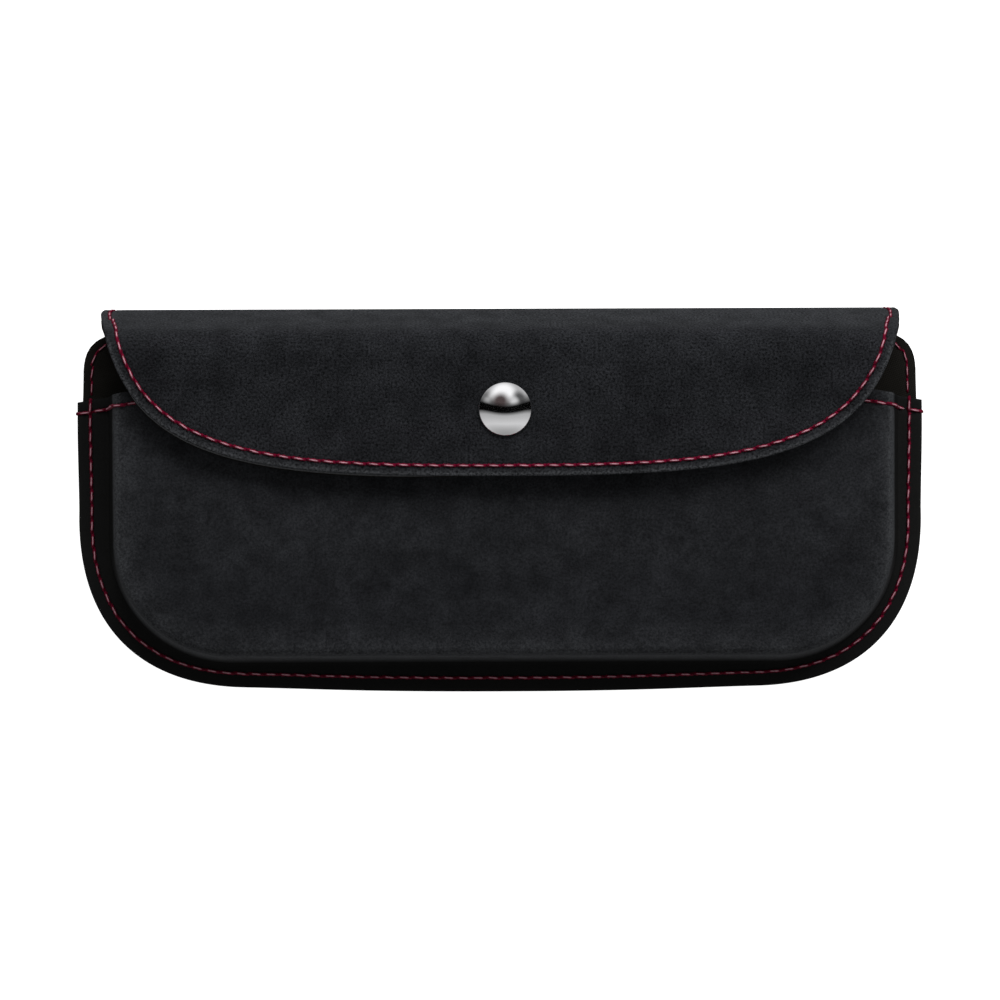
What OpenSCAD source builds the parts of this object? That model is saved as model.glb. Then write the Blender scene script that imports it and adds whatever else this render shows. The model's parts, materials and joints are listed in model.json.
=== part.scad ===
// Soft pouch glasses case, lying on its back with the flap snapped shut.
// X runs across the case, Y up towards the fold, Z out of the front.
// Units are millimetres. The origin is under the middle of the case, on the surface it lies on.

/* [Case] */
// Half of the width of the sewn body
half_w = 93.5; // [92:0.1:95]
// Half of the height, from the bottom edge to the back of the fold
half_h = 42.4; // [42:0.1:43]
// Height of the flap's outer face over the back
flap_z = 26.4; // [25.4:0.1:28]
// Height of the pocket's outer face at the snap
face_z = 22.0; // [21.5:0.1:22.1]
// Half of the width of the pocket's raised face
face_half_w = 84.6; // [83:0.1:85.5]
// Distance from the middle down to the bottom of the raised face
face_drop = 34.2; // [32:0.1:34.5]
// Radius of the raised face's lower corners
face_corner_r = 25.5; // [20:0.5:28]

/* [Plies] */
// Thickness of the outer leather
leather_t = 1.1; // [0.9:0.05:1.1]
// Thickness of the interlining between leather and lining
interlining_t = 0.5; // [0.3:0.05:0.5]
// Thickness of the lining
lining_t = 0.5; // [0.3:0.05:0.5]

/* [Flap] */
// Half of the width of the flap at the fold
flap_half_w = 86.8; // [85:0.1:86.8]
// Height of the flap's lowest edge over the middle of the case
flap_edge_y = 5.2; // [2:0.1:8]
// Outer radius of the bend from the back into the spine
back_bend_r = 4.0; // [3.5:0.1:4]
// Outer radius of the bend from the spine into the flap
front_bend_r = 7.5; // [7:0.1:7.5]
// Lean of the spine towards the front, in degrees
spine_lean = 16; // [14:1:18]

/* [Seams] */
// Length from one stitch to the next
stitch_pitch = 3.3; // [3.2:0.1:5]
// Visible length of one stitch
stitch_len = 2.5; // [1.5:0.1:2.6]
// Radius of the upper thread
thread_r = 0.30; // [0.2:0.01:0.35]
// Radius of the lower thread
bobbin_r = 0.24; // [0.15:0.01:0.25]
// Distance from the body's edge to its seam
body_seam_inset = 2.8; // [2:0.1:3]
// Distance from the flap's edge to its seam
flap_seam_inset = 2.3; // [1.8:0.1:3]
// Distance from the pocket's mouth to its seam
mouth_seam_inset = 2.6; // [2:0.1:3.5]

/* [Snap] */
// Distance of the snap's centre to the right of the case's middle
snap_x = 1.2; // [-2:0.1:2]
// Height of the snap's centre over the middle of the case
snap_y = 19.8; // [18:0.1:20.5]
// Radius of the domed cap
cap_r = 6.0; // [5:0.1:6.5]
// Height of the domed cap
cap_h = 3.0; // [2:0.1:3.5]
// Outer radius of the socket
socket_r = 5.2; // [5.1:0.1:5.2]
// Radius of the stud's head
stud_head_r = 1.9; // [1.7:0.05:1.9]

/* [Hidden] */

curve_steps = 14;     // points along one curve of an outline
ply_gap = 0.02;       // glue line between two plies
part_gap = 0.05;      // gap where a panel ends at a fold
reach = 200;          // longer than the case in any direction

// Depth of the top of each ply below the leather's face
interlining_d = leather_t + ply_gap;
lining_d = interlining_d + interlining_t + ply_gap;
stack_t = lining_d + lining_t;
flange_z = 2 * stack_t + ply_gap;

// Back bend, spine and front bend, seen from the side as [y, z]
back_bend_y = half_h - back_bend_r;
lean_out = [cos(spine_lean), sin(spine_lean)];
lean_up = [-sin(spine_lean), cos(spine_lean)];
spine_start = [back_bend_y, back_bend_r] + back_bend_r * lean_out;
spine_len = (flap_z - front_bend_r * (1 - lean_out[1]) - spine_start[1]) / lean_up[1];
spine_end = spine_start + spine_len * lean_up;
front_bend_y = spine_end[0] - front_bend_r * lean_out[0];
front_bend_z = flap_z - front_bend_r;

// Pocket: draft of its walls, rounding of its shoulder, fall of its face towards the bottom
wall_draft = 2.3;
shoulder_r = 2.2;
face_fall = 2.0;
wall_top_y = 46;
mouth_r = 546;        // radius of the arched mouth
mouth_y = 30;         // height of the mouth's middle over the middle of the case

black = [0.12, 0.12, 0.13];
dark_cloth = [0.07, 0.07, 0.08];
crimson = [0.72, 0.09, 0.20];
nickel = [0.78, 0.78, 0.80];

// ---------- outlines ----------

function bezier(p, n = curve_steps) = [
    for (i = [0 : n]) let (t = i / n, u = 1 - t)
        u*u*u * p[0] + 3*u*u*t * p[1] + 3*u*t*t * p[2] + t*t*t * p[3]
];

function unit(v) = v / norm(v);

// Moves each point of an open outline to its left by d
function inset(pts, d) = [
    for (i = [0 : len(pts) - 1])
        let (a = pts[max(i - 1, 0)], b = pts[min(i + 1, len(pts) - 1)],
             t = pts[i][0] == 0 ? [1, 0] : unit(b - a))
            pts[i] + d * [-t[1], t[0]]
];

// Closes a right-hand half, given from the bottom up, with its mirror image
function both_sides(half) = concat(
    half, [for (i = [len(half) - 1 : -1 : 0]) if (half[i][0] > 0) [-half[i][0], half[i][1]]]
);

// Lower edge and corner that the front and back panels share
function body_lower() = concat(
    bezier([[0, -half_h], [31.5, -half_h], [40, -half_h + 0.7], [half_w - 36, -half_h + 1.1]]),
    [for (i = [1 : curve_steps])
        bezier([[half_w - 36, -half_h + 1.1], [half_w - 12, -half_h + 1.9],
                [half_w + 0.4, -26], [half_w - 0.3, -2]])[i]]
);
front_half = concat(body_lower(), [[half_w, 12], [half_w, wall_top_y]]);
ear_curve = bezier([[half_w - 1.2, 29], [half_w - 1.4, 33.5], [half_w - 3, 35.2], [flap_half_w, 36.9]]);
back_half = concat(body_lower(), [[half_w - 0.4, 9], [half_w - 0.9, 18], [half_w - 1.1, 24]], ear_curve);
back_outline_half = concat(back_half, [[flap_half_w, back_bend_y - part_gap]]);

flap_half = bezier([[0, flap_edge_y], [50.5, flap_edge_y],
                    [flap_half_w - 6.1, flap_edge_y + 1.5], [flap_half_w, 39]], 2 * curve_steps);
flap_plan_half = concat(flap_half, [[flap_half_w, 60]]);

// Raised face's outline grown by g
function face_half(g) = let (r = face_corner_r + g) concat(
    [[0, -face_drop - g]],
    [for (i = [0 : curve_steps]) let (a = 90 * i / curve_steps)
        [face_half_w + g - r + r * sin(a), -face_drop - g + r - r * cos(a)]],
    [[face_half_w + g, wall_top_y]]
);

// ---------- seam paths ----------

function lengths(pts) = [
    for (i = 0, s = 0; i < len(pts); i = i + 1, s = s + (i < len(pts) ? norm(pts[i] - pts[i - 1]) : 0)) s
];

// Centre and direction of each stitch along a path
function stitches(pts) = let (
    s = lengths(pts), total = s[len(s) - 1], n = floor(total / stitch_pitch)
) [
    for (k = [0 : n - 1]) let (
        at = (k + 0.5) * total / n,
        i = max([for (j = [0 : len(s) - 2]) if (s[j] <= at) j]),
        step = pts[i + 1] - pts[i]
    ) [pts[i] + step * (at - s[i]) / norm(step), unit(step)]
];

function lifted(pts, z) = [for (p = pts) [p[0], p[1], z]];

function whole_path(half) = concat(
    [for (i = [len(half) - 1 : -1 : 0]) if (half[i][0] > 0) [-half[i][0], half[i][1]]], half
);

// Straight rods along a path; past step_y they lie one stack lower, on the back panel alone
module thread(path, r, length = stitch_len, step_y = reach) {
    for (s = stitches(path)) {
        z = s[0][1] > step_y ? s[0][2] - stack_t - ply_gap : s[0][2];
        translate([s[0][0], s[0][1], z])
            rotate([0, acos(s[1][2]), atan2(s[1][1], s[1][0])])
                cylinder(h = length, r = r, center = true, $fn = 16);
    }
}

body_seam = whole_path(inset(back_half, body_seam_inset));
flap_seam = whole_path([for (p = inset(flap_half, flap_seam_inset)) if (p[1] < front_bend_y) p]);

function mouth_at(x) = mouth_y - mouth_r + sqrt(mouth_r * mouth_r - x * x);
function face_z_at(y) = face_z + face_fall * (y - snap_y) / (snap_y + face_drop);

// Right half of the mouth's seam over the face, at the height h above the leather
function mouth_seam_face(h) = [
    for (x = [0 : 12 : face_half_w - 12])
        let (y = mouth_at(x) - mouth_seam_inset) [x, y, face_z_at(y) + h]
];

// The same seam from the shoulder down the wall
function mouth_seam_wall(h) = let (
    y = mouth_at(face_half_w) - mouth_seam_inset, top = face_z_at(y), r = shoulder_r + h
) concat(
    [for (a = [90 : -30 : 0])
        [face_half_w - shoulder_r + r * cos(a), y, top - shoulder_r + r * sin(a)]],
    [[face_half_w + wall_draft + h, y - 0.3, flange_z + 1]]
);

// The same seam across the flange: one stitch on each side of the body's seam
function mouth_seam_flange(side) = let (
    x = half_w - body_seam_inset, y = mouth_at(x) - mouth_seam_inset
) [for (dx = [-1, 1]) [side * (x + dx * stitch_pitch), y, flange_z + thread_r + ply_gap]];

function across(half) = concat(
    [for (i = [len(half) - 1 : -1 : 1]) [-half[i][0], half[i][1], half[i][2]]], half
);

// ---------- panels ----------

module back_ply(depth, t) {
    translate([0, 0, depth]) linear_extrude(t) polygon(both_sides(back_outline_half));
}

// Channel in which the lower thread lies, so that the back stays flat
module seam_channel() {
    width = bobbin_r + 0.18;
    depth = 2 * bobbin_r + 0.07;
    path = inset(back_half, body_seam_inset);
    translate([0, 0, -1]) linear_extrude(1 + depth)
        difference() {
            polygon(both_sides(inset(path, -width)));
            polygon(both_sides(inset(path, width)));
            translate([-flap_half_w, 31]) square([2 * flap_half_w, 20]);
        }
}

module back_panel() {
    color(black) difference() {
        back_ply(0, leather_t);
        seam_channel();
    }
}

module back_interlining() {
    color(dark_cloth) back_ply(interlining_d, interlining_t);
}

module back_lining() {
    color(dark_cloth) back_ply(lining_d, lining_t);
}

module face_slice(g, z) {
    translate([0, snap_y, z]) rotate([atan(face_fall / (snap_y + face_drop)), 0, 0])
        translate([0, -snap_y, 0]) linear_extrude(0.01) polygon(both_sides(face_half(g)));
}

// Solid block under the pocket's surface at the depth d; its walls run on below the flange
module pocket_block(d) {
    r = shoulder_r - d;
    wall_h = face_z - shoulder_r - flange_z;
    hull() {
        translate([0, 0, -1]) linear_extrude(0.01)
            polygon(both_sides(face_half(wall_draft * (1 + (flange_z + 1) / wall_h) - d)));
        for (a = [0, 30, 60, 90])
            face_slice(-shoulder_r + r * cos(a), face_z - shoulder_r + r * sin(a));
    }
}

module mouth_trim() {
    translate([0, mouth_y - mouth_r, -1]) cylinder(h = flap_z + 10, r = mouth_r, $fn = 240);
}

module front_ply(depth, t) {
    low = flange_z - depth - t;
    intersection() {
        union() {
            translate([0, 0, low]) linear_extrude(t) difference() {
                polygon(both_sides(front_half));
                polygon(both_sides(face_half(wall_draft - depth - t / 2)));
            }
            difference() {
                pocket_block(depth);
                pocket_block(depth + t);
                translate([0, 0, low - reach / 2]) cube([2 * reach, 2 * reach, reach], center = true);
            }
        }
        mouth_trim();
    }
}

module eyelet_hole() {
    translate([snap_x, snap_y, face_z - 6]) cylinder(h = 10, r = eyelet_r + 0.1, $fn = 32);
}

module front_panel() {
    color(black) difference() {
        front_ply(0, leather_t);
        eyelet_hole();
        translate([snap_x, snap_y, face_z - stud_sink]) cylinder(h = 5, r = stud_base_r + 0.1, $fn = 48);
    }
}

module front_interlining() {
    color(dark_cloth) difference() {
        front_ply(interlining_d, interlining_t);
        eyelet_hole();
    }
}

module front_lining() {
    color(dark_cloth) difference() {
        front_ply(lining_d, lining_t);
        eyelet_hole();
    }
}

// ---------- folds and spine ----------

module flap_plan(low, high) {
    translate([0, 0, low]) linear_extrude(high - low) polygon(both_sides(flap_plan_half));
}

// Bent strip round an axis along X at [y, z], from the angle a0 to a1, measured from +Y
module bent_strip(centre, r, depth, t, a0, a1) {
    translate([0, centre[0], centre[1]]) rotate([90, 0, 90])
        rotate([0, 0, a0]) rotate_extrude(angle = a1 - a0, $fn = 96)
            translate([r - depth - t, -flap_half_w]) square([t, 2 * flap_half_w]);
}

module back_fold(depth, t) {
    bent_strip([back_bend_y, back_bend_r], back_bend_r, depth, t, -90, spine_lean);
}

module front_fold(depth, t) {
    intersection() {
        bent_strip([front_bend_y, front_bend_z], front_bend_r, depth, t, spine_lean, 90);
        flap_plan(0, 2 * flap_z);
    }
}

module back_fold_leather() {
    color(black) back_fold(0, leather_t);
}

module back_fold_lining() {
    color(dark_cloth) back_fold(lining_d, lining_t);
}

module front_fold_leather() {
    color(black) front_fold(0, leather_t);
}

module front_fold_lining() {
    color(dark_cloth) front_fold(lining_d, lining_t);
}

// Places its children with +Y up the spine and +Z out of it
module on_spine() {
    translate([0, spine_start[0], spine_start[1]]) rotate([90 + spine_lean, 0, 0])
        mirror([0, 0, 1]) children();
}

module spine_ply(depth, t) {
    on_spine() translate([-flap_half_w, part_gap, -depth - t])
        cube([2 * flap_half_w, spine_len - 2 * part_gap, t]);
}

module spine_panel() {
    color(black) spine_ply(0, leather_t);
}

module spine_interlining() {
    color(dark_cloth) spine_ply(interlining_d, interlining_t);
}

module spine_lining() {
    color(dark_cloth) spine_ply(lining_d, lining_t);
}

module spine_seam(z, r) {
    for (side = [-1, 1])
        on_spine() thread([for (y = [0, spine_len]) [side * (flap_half_w - flap_seam_inset), y, z]], r);
}

module spine_seam_thread() {
    color(crimson) spine_seam(thread_r + ply_gap, thread_r);
}

module spine_seam_bobbin() {
    color(crimson) spine_seam(-stack_t - bobbin_r - ply_gap, bobbin_r);
}

// ---------- flap ----------

module post_hole() {
    translate([snap_x, snap_y, flap_z - 5]) cylinder(h = 10, r = post_r + 0.1, $fn = 32);
}

module flap_ply(depth, t) {
    intersection() {
        flap_plan(flap_z - depth - t, flap_z - depth);
        translate([-reach / 2, front_bend_y - part_gap - reach, 0]) cube([reach, reach, 2 * flap_z]);
    }
}

module flap_panel() {
    color(black) difference() {
        flap_ply(0, leather_t);
        post_hole();
    }
}

module flap_interlining() {
    color(dark_cloth) difference() {
        flap_ply(interlining_d, interlining_t);
        post_hole();
    }
}

module flap_lining() {
    color(dark_cloth) difference() {
        flap_ply(lining_d, lining_t);
        translate([snap_x, snap_y, flap_z - 5]) cylinder(h = 10, r = socket_r + 0.1, $fn = 48);
    }
}

module flap_seam_thread() {
    color(crimson) thread(lifted(flap_seam, flap_z + thread_r + ply_gap), thread_r);
}

module flap_seam_bobbin() {
    color(crimson) thread(lifted(flap_seam, flap_z - stack_t - bobbin_r - ply_gap), bobbin_r);
}

// ---------- body and mouth seams ----------

module body_seam_thread() {
    color(crimson) thread(lifted(body_seam, flange_z + thread_r + ply_gap), thread_r, step_y = 23.5);
}

module body_seam_bobbin() {
    color(crimson) thread(lifted([for (p = body_seam) if (p[1] < 31) p], bobbin_r + 0.02), bobbin_r);
}

module mouth_seam_thread() {
    h = thread_r + 0.12;
    color(crimson) {
        thread(across(concat(mouth_seam_face(h), mouth_seam_wall(h))), thread_r);
        for (side = [-1, 1]) thread(mouth_seam_flange(side), thread_r, 0.6 * stitch_len);
    }
}

module mouth_seam_bobbin() {
    color(crimson) thread(across(mouth_seam_face(-stack_t - bobbin_r - 0.1)), bobbin_r);
}

// ---------- snap ----------

post_r = 1.2;
eyelet_r = 1.0;
stud_base_r = 4.8;
stud_base_t = 0.6;
stud_sink = 0.3;
sheet_t = 0.4;                                   // thickness of the pressed metal
stud_z = face_z - stud_sink;                     // underside of the stud
stud_top = stud_z + 2.05;
socket_top = flap_z - interlining_d - interlining_t - 0.04;
socket_low = stud_z + stud_base_t + 0.35;
lip_r = 3.4;                                     // opening of the socket
cavity_r = 4.4;                                  // room for the spring behind the opening
spring_x = stud_head_r + 0.4;
spring_r = 0.25;

module turned(points) {
    translate([snap_x, snap_y, 0]) rotate_extrude($fn = 64) polygon(points);
}

module snap_stud() {
    bore = eyelet_r + 0.08;
    color(nickel) turned([
        [bore, stud_z], [stud_base_r, stud_z], [stud_base_r, stud_z + stud_base_t - 0.15],
        [stud_base_r - 0.2, stud_z + stud_base_t], [1.5, stud_z + stud_base_t],
        [1.5, stud_top - 0.95], [stud_head_r, stud_top - 0.75], [stud_head_r, stud_top - 0.35],
        [stud_head_r - 0.35, stud_top], [bore, stud_top], [bore, stud_top - 0.3],
        [bore + 0.2, stud_top - 0.3], [bore + 0.2, stud_z + stud_base_t], [bore, stud_z + stud_base_t]
    ]);
}

module snap_eyelet() {
    low = face_z - stack_t - 0.72;
    top = stud_top - 0.4;
    color(nickel) turned([
        [0.6, low], [4.2, low], [4.2, low + 0.5], [eyelet_r, low + 0.5], [eyelet_r, stud_z + stud_base_t + 0.05],
        [eyelet_r + 0.15, stud_z + stud_base_t + 0.05], [eyelet_r + 0.15, top], [0.6, top]
    ]);
}

// Domed cap with its hollow post, flared behind the socket's roof
module snap_cap() {
    ball_r = (cap_r * cap_r + cap_h * cap_h) / (2 * cap_h);
    edge_a = asin(cap_r / ball_r);
    low = flap_z + ply_gap;
    flare_top = socket_top - sheet_t - 0.04;
    function arc(r, a0, a1) = [
        for (i = [0 : curve_steps]) let (a = a0 + (a1 - a0) * i / curve_steps)
            [r * sin(a), low + cap_h - ball_r + r * cos(a)]
    ];
    inner_r = ball_r - sheet_t;
    inner_a = acos((ball_r - cap_h + sheet_t) / inner_r);
    color(nickel) turned(concat(
        arc(ball_r, 0, edge_a - 3),
        [[cap_r - 0.1, low], [post_r, low], [post_r, flare_top], [post_r + 0.5, flare_top],
         [post_r + 0.5, flare_top - 0.25], [0.7, flare_top - 0.25], [0.7, low + sheet_t]],
        arc(inner_r, inner_a, 0)
    ));
}

module snap_socket() {
    bore = post_r + 0.1;
    color(nickel) turned([
        [lip_r, socket_low], [socket_r - 0.3, socket_low], [socket_r, socket_low + 0.3],
        [socket_r, socket_top], [bore, socket_top], [bore, socket_top - sheet_t],
        [cavity_r, socket_top - sheet_t], [cavity_r, socket_low + sheet_t], [lip_r, socket_low + sheet_t]
    ]);
}

// Sprung wire ring with two straight runs that grip the stud's neck
module snap_spring() {
    ring_r = cavity_r - spring_r - 0.08;
    run = 2 * sqrt(ring_r * ring_r - spring_x * spring_x);
    color(nickel) translate([snap_x, snap_y, socket_low + sheet_t + spring_r + 0.03]) {
        rotate_extrude($fn = 64) translate([ring_r, 0]) circle(r = spring_r, $fn = 16);
        for (side = [-1, 1]) translate([side * spring_x, 0, 0]) rotate([90, 0, 0])
            cylinder(h = run, r = spring_r * 0.96, center = true, $fn = 16);
    }
}

back_panel();
back_interlining();
back_lining();
front_panel();
front_interlining();
front_lining();
back_fold_leather();
back_fold_lining();
body_seam_thread();
body_seam_bobbin();
mouth_seam_thread();
mouth_seam_bobbin();
snap_stud();
snap_eyelet();
spine_panel();
spine_interlining();
spine_lining();
front_fold_leather();
front_fold_lining();
spine_seam_thread();
spine_seam_bobbin();
flap_panel();
flap_interlining();
flap_lining();
flap_seam_thread();
flap_seam_bobbin();
snap_cap();
snap_socket();
snap_spring();
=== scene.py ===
"""Soft pouch glasses case: leather, lining, seams and press stud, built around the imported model."""

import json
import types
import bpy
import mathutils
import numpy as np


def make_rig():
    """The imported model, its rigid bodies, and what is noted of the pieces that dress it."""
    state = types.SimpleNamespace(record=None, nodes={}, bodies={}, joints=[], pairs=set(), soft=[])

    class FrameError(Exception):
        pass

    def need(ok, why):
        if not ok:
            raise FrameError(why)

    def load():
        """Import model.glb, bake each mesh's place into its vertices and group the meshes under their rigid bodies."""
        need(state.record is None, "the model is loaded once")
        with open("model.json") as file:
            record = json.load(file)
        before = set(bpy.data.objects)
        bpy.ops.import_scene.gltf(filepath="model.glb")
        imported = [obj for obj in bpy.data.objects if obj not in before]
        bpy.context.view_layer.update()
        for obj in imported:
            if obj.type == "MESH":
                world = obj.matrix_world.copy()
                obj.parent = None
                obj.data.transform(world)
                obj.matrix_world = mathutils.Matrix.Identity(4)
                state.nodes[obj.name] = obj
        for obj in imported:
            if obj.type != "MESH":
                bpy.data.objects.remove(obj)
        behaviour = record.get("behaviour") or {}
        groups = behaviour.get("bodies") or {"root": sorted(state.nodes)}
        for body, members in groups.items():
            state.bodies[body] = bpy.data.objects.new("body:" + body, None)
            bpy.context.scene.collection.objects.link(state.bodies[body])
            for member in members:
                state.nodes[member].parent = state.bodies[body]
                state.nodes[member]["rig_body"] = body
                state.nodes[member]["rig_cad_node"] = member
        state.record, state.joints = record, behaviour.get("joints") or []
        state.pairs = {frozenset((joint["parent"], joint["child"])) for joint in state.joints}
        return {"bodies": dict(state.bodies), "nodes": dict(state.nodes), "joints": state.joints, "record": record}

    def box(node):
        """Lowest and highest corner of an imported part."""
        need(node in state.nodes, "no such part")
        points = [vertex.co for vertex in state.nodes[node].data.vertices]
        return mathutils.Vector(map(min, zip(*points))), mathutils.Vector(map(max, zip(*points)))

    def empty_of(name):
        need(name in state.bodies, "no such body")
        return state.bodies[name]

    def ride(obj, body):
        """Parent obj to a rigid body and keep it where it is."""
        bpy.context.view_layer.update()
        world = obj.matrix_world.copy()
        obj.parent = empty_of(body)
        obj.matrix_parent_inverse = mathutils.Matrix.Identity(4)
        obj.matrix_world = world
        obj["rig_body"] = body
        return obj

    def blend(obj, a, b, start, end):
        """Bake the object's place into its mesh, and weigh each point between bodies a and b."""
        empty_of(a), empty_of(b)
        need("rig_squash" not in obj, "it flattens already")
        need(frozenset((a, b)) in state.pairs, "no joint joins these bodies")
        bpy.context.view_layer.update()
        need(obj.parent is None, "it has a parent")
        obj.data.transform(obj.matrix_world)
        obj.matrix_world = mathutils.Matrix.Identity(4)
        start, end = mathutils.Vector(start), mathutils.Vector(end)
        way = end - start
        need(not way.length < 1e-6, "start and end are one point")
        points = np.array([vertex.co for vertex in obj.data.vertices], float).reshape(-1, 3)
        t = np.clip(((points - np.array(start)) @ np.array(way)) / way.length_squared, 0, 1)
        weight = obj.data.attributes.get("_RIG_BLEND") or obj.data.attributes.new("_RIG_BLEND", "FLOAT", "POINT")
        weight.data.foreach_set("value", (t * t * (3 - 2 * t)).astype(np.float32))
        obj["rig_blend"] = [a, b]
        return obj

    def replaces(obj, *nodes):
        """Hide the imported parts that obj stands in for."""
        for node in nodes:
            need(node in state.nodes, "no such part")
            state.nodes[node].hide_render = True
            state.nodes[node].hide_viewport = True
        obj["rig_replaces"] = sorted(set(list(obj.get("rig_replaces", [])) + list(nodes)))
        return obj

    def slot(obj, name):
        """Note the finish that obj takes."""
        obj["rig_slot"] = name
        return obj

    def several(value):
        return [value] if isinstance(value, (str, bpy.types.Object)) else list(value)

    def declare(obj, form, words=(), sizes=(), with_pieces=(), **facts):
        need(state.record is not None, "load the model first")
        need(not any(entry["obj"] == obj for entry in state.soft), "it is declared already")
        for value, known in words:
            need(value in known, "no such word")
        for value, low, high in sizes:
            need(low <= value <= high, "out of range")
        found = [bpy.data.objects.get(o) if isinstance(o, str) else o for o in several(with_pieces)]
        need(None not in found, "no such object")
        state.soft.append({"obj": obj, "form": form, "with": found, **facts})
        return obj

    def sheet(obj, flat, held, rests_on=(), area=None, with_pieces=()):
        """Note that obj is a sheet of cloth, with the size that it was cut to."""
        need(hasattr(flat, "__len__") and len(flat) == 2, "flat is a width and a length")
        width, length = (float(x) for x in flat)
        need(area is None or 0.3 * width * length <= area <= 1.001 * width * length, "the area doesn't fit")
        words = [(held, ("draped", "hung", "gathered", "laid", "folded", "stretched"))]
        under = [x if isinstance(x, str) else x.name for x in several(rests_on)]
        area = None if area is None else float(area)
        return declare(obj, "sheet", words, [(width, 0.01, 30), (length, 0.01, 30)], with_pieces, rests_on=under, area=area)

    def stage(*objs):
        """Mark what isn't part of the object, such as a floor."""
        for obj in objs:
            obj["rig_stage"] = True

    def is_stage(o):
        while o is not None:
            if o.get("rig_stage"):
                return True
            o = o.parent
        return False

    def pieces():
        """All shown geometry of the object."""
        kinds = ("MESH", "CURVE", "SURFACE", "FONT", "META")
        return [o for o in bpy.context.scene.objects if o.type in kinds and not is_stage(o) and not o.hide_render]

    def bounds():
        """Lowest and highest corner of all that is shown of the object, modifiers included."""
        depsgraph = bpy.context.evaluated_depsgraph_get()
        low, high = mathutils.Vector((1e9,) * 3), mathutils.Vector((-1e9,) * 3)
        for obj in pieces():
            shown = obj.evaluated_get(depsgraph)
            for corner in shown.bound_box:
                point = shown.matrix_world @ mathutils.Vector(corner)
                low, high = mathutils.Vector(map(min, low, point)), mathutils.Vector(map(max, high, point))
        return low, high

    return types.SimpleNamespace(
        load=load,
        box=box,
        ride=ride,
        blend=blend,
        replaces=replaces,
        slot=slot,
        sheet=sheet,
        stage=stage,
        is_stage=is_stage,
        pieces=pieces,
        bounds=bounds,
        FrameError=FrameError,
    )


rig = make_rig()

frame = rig.load()
CAD_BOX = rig.bounds()

import json
import math

import bmesh
import bpy
import numpy as np

bl_info = {
    "name": "Soft Pouch Glasses Case",
    "version": (1, 0, 0),
    "blender": (4, 5, 0),
    "location": "3D View > Sidebar > Glasses Case",
    "description": "Builds the leather, lining, seams, press stud and stage of a soft glasses case",
    "category": "Mesh",
}

MM = 0.001
SIZE_FILE = "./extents.json"
STATIONS_PER_STITCH = 3
SEAM_RING = 7  # the one of a sheet's edge rings that its perimeter seam runs along
MOUTH_SEAM_INSET = 2.6 * MM
BOBBIN_GIRTH = 0.7  # the lower threads are pulled tighter than the upper ones
STITCH_TWIST = 2.6 * math.pi


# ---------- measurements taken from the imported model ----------

def low(node):
    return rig.box(node)[0]


def high(node):
    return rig.box(node)[1]


BODY_HALF_W = high("front_panel").x
BODY_HALF_H = -low("front_panel").y
FLAP_HALF_W = high("spine_panel").x
FLAP_Z = high("flap_panel").z
LEATHER_T = high("back_panel").z
INTERLINING = (low("back_interlining").z, high("back_interlining").z)
LINING = (low("back_lining").z, high("back_lining").z)
STACK_T = LINING[1]
FLANGE_Z = low("front_panel").z + LEATHER_T
PART_GAP = 0.05 * MM

SPINE_LEAN = math.radians(16)
BACK_BEND_Y = high("back_panel").y + PART_GAP
BACK_BEND_R = high("back_fold_leather").y - BACK_BEND_Y
FRONT_BEND_Y = low("front_fold_leather").y
FRONT_BEND_R = (high("front_fold_leather").y - FRONT_BEND_Y) / math.cos(SPINE_LEAN)
FRONT_BEND_Z = FLAP_Z - FRONT_BEND_R
SPINE_FOOT = (BACK_BEND_Y + BACK_BEND_R * math.cos(SPINE_LEAN), BACK_BEND_R * (1 + math.sin(SPINE_LEAN)))
SPINE_LEN = (FRONT_BEND_Z + FRONT_BEND_R * math.sin(SPINE_LEAN) - SPINE_FOOT[1]) / math.cos(SPINE_LEAN)

# Lengths along the outer leather, from the bottom edge of the back up over the folds
BACK_BEND_V = BACK_BEND_Y + BODY_HALF_H
SPINE_V = BACK_BEND_V + BACK_BEND_R * (math.pi / 2 + SPINE_LEAN)
FRONT_BEND_V = SPINE_V + SPINE_LEN
FLAP_V = FRONT_BEND_V + FRONT_BEND_R * (math.pi / 2 - SPINE_LEAN)
SPLIT_V = SPINE_V + SPINE_LEN / 2
FLAP_EDGE_Y = low("flap_panel").y

SNAP = (low("snap_cap") + high("snap_cap")) / 2
CAP_R = (high("snap_cap").x - low("snap_cap").x) / 2
CAP_H = high("snap_cap").z - FLAP_Z
MOUTH_Y = high("front_panel").y
MOUTH_R = 546 * MM
FACE_HALF_W = 85.55 * MM
FACE_X = 0.8 * MM
FACE_DROP = 34.2 * MM
FACE_CORNER_R = 25.5 * MM
FACE_FALL = 2 * MM
FACE_Z = 22 * MM
WALL_DRAFT = 1.85 * MM
SHOULDER_R = 2.2 * MM


# ---------- curves and small maths ----------

def bezier(points, steps=60):
    p = np.array(points, float)
    t = np.linspace(0, 1, steps + 1)[:, None]
    return (1 - t) ** 3 * p[0] + 3 * (1 - t) ** 2 * t * p[1] + 3 * (1 - t) * t * t * p[2] + t ** 3 * p[3]


def joined(*parts):
    """Several stretches of one line, each starting where the last one ends."""
    return np.concatenate([parts[0]] + [p[1:] for p in parts[1:]])


def ease(t):
    t = np.clip(t, 0, 1)
    return t * t * (3 - 2 * t)


def lengths(points):
    steps = np.linalg.norm(np.diff(points, axis=0), axis=1)
    return np.concatenate([[0], np.cumsum(steps)])


def pick(table, at, where):
    """Values of each column of table, given at the positions at, read off at the positions where."""
    return np.stack([np.interp(where, at, column) for column in table.T], axis=1)


def unit(vectors):
    return vectors / np.maximum(np.linalg.norm(vectors, axis=1, keepdims=True), 1e-12)


def bump(distance, width):
    return np.exp(-(distance / width) ** 2)


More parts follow.
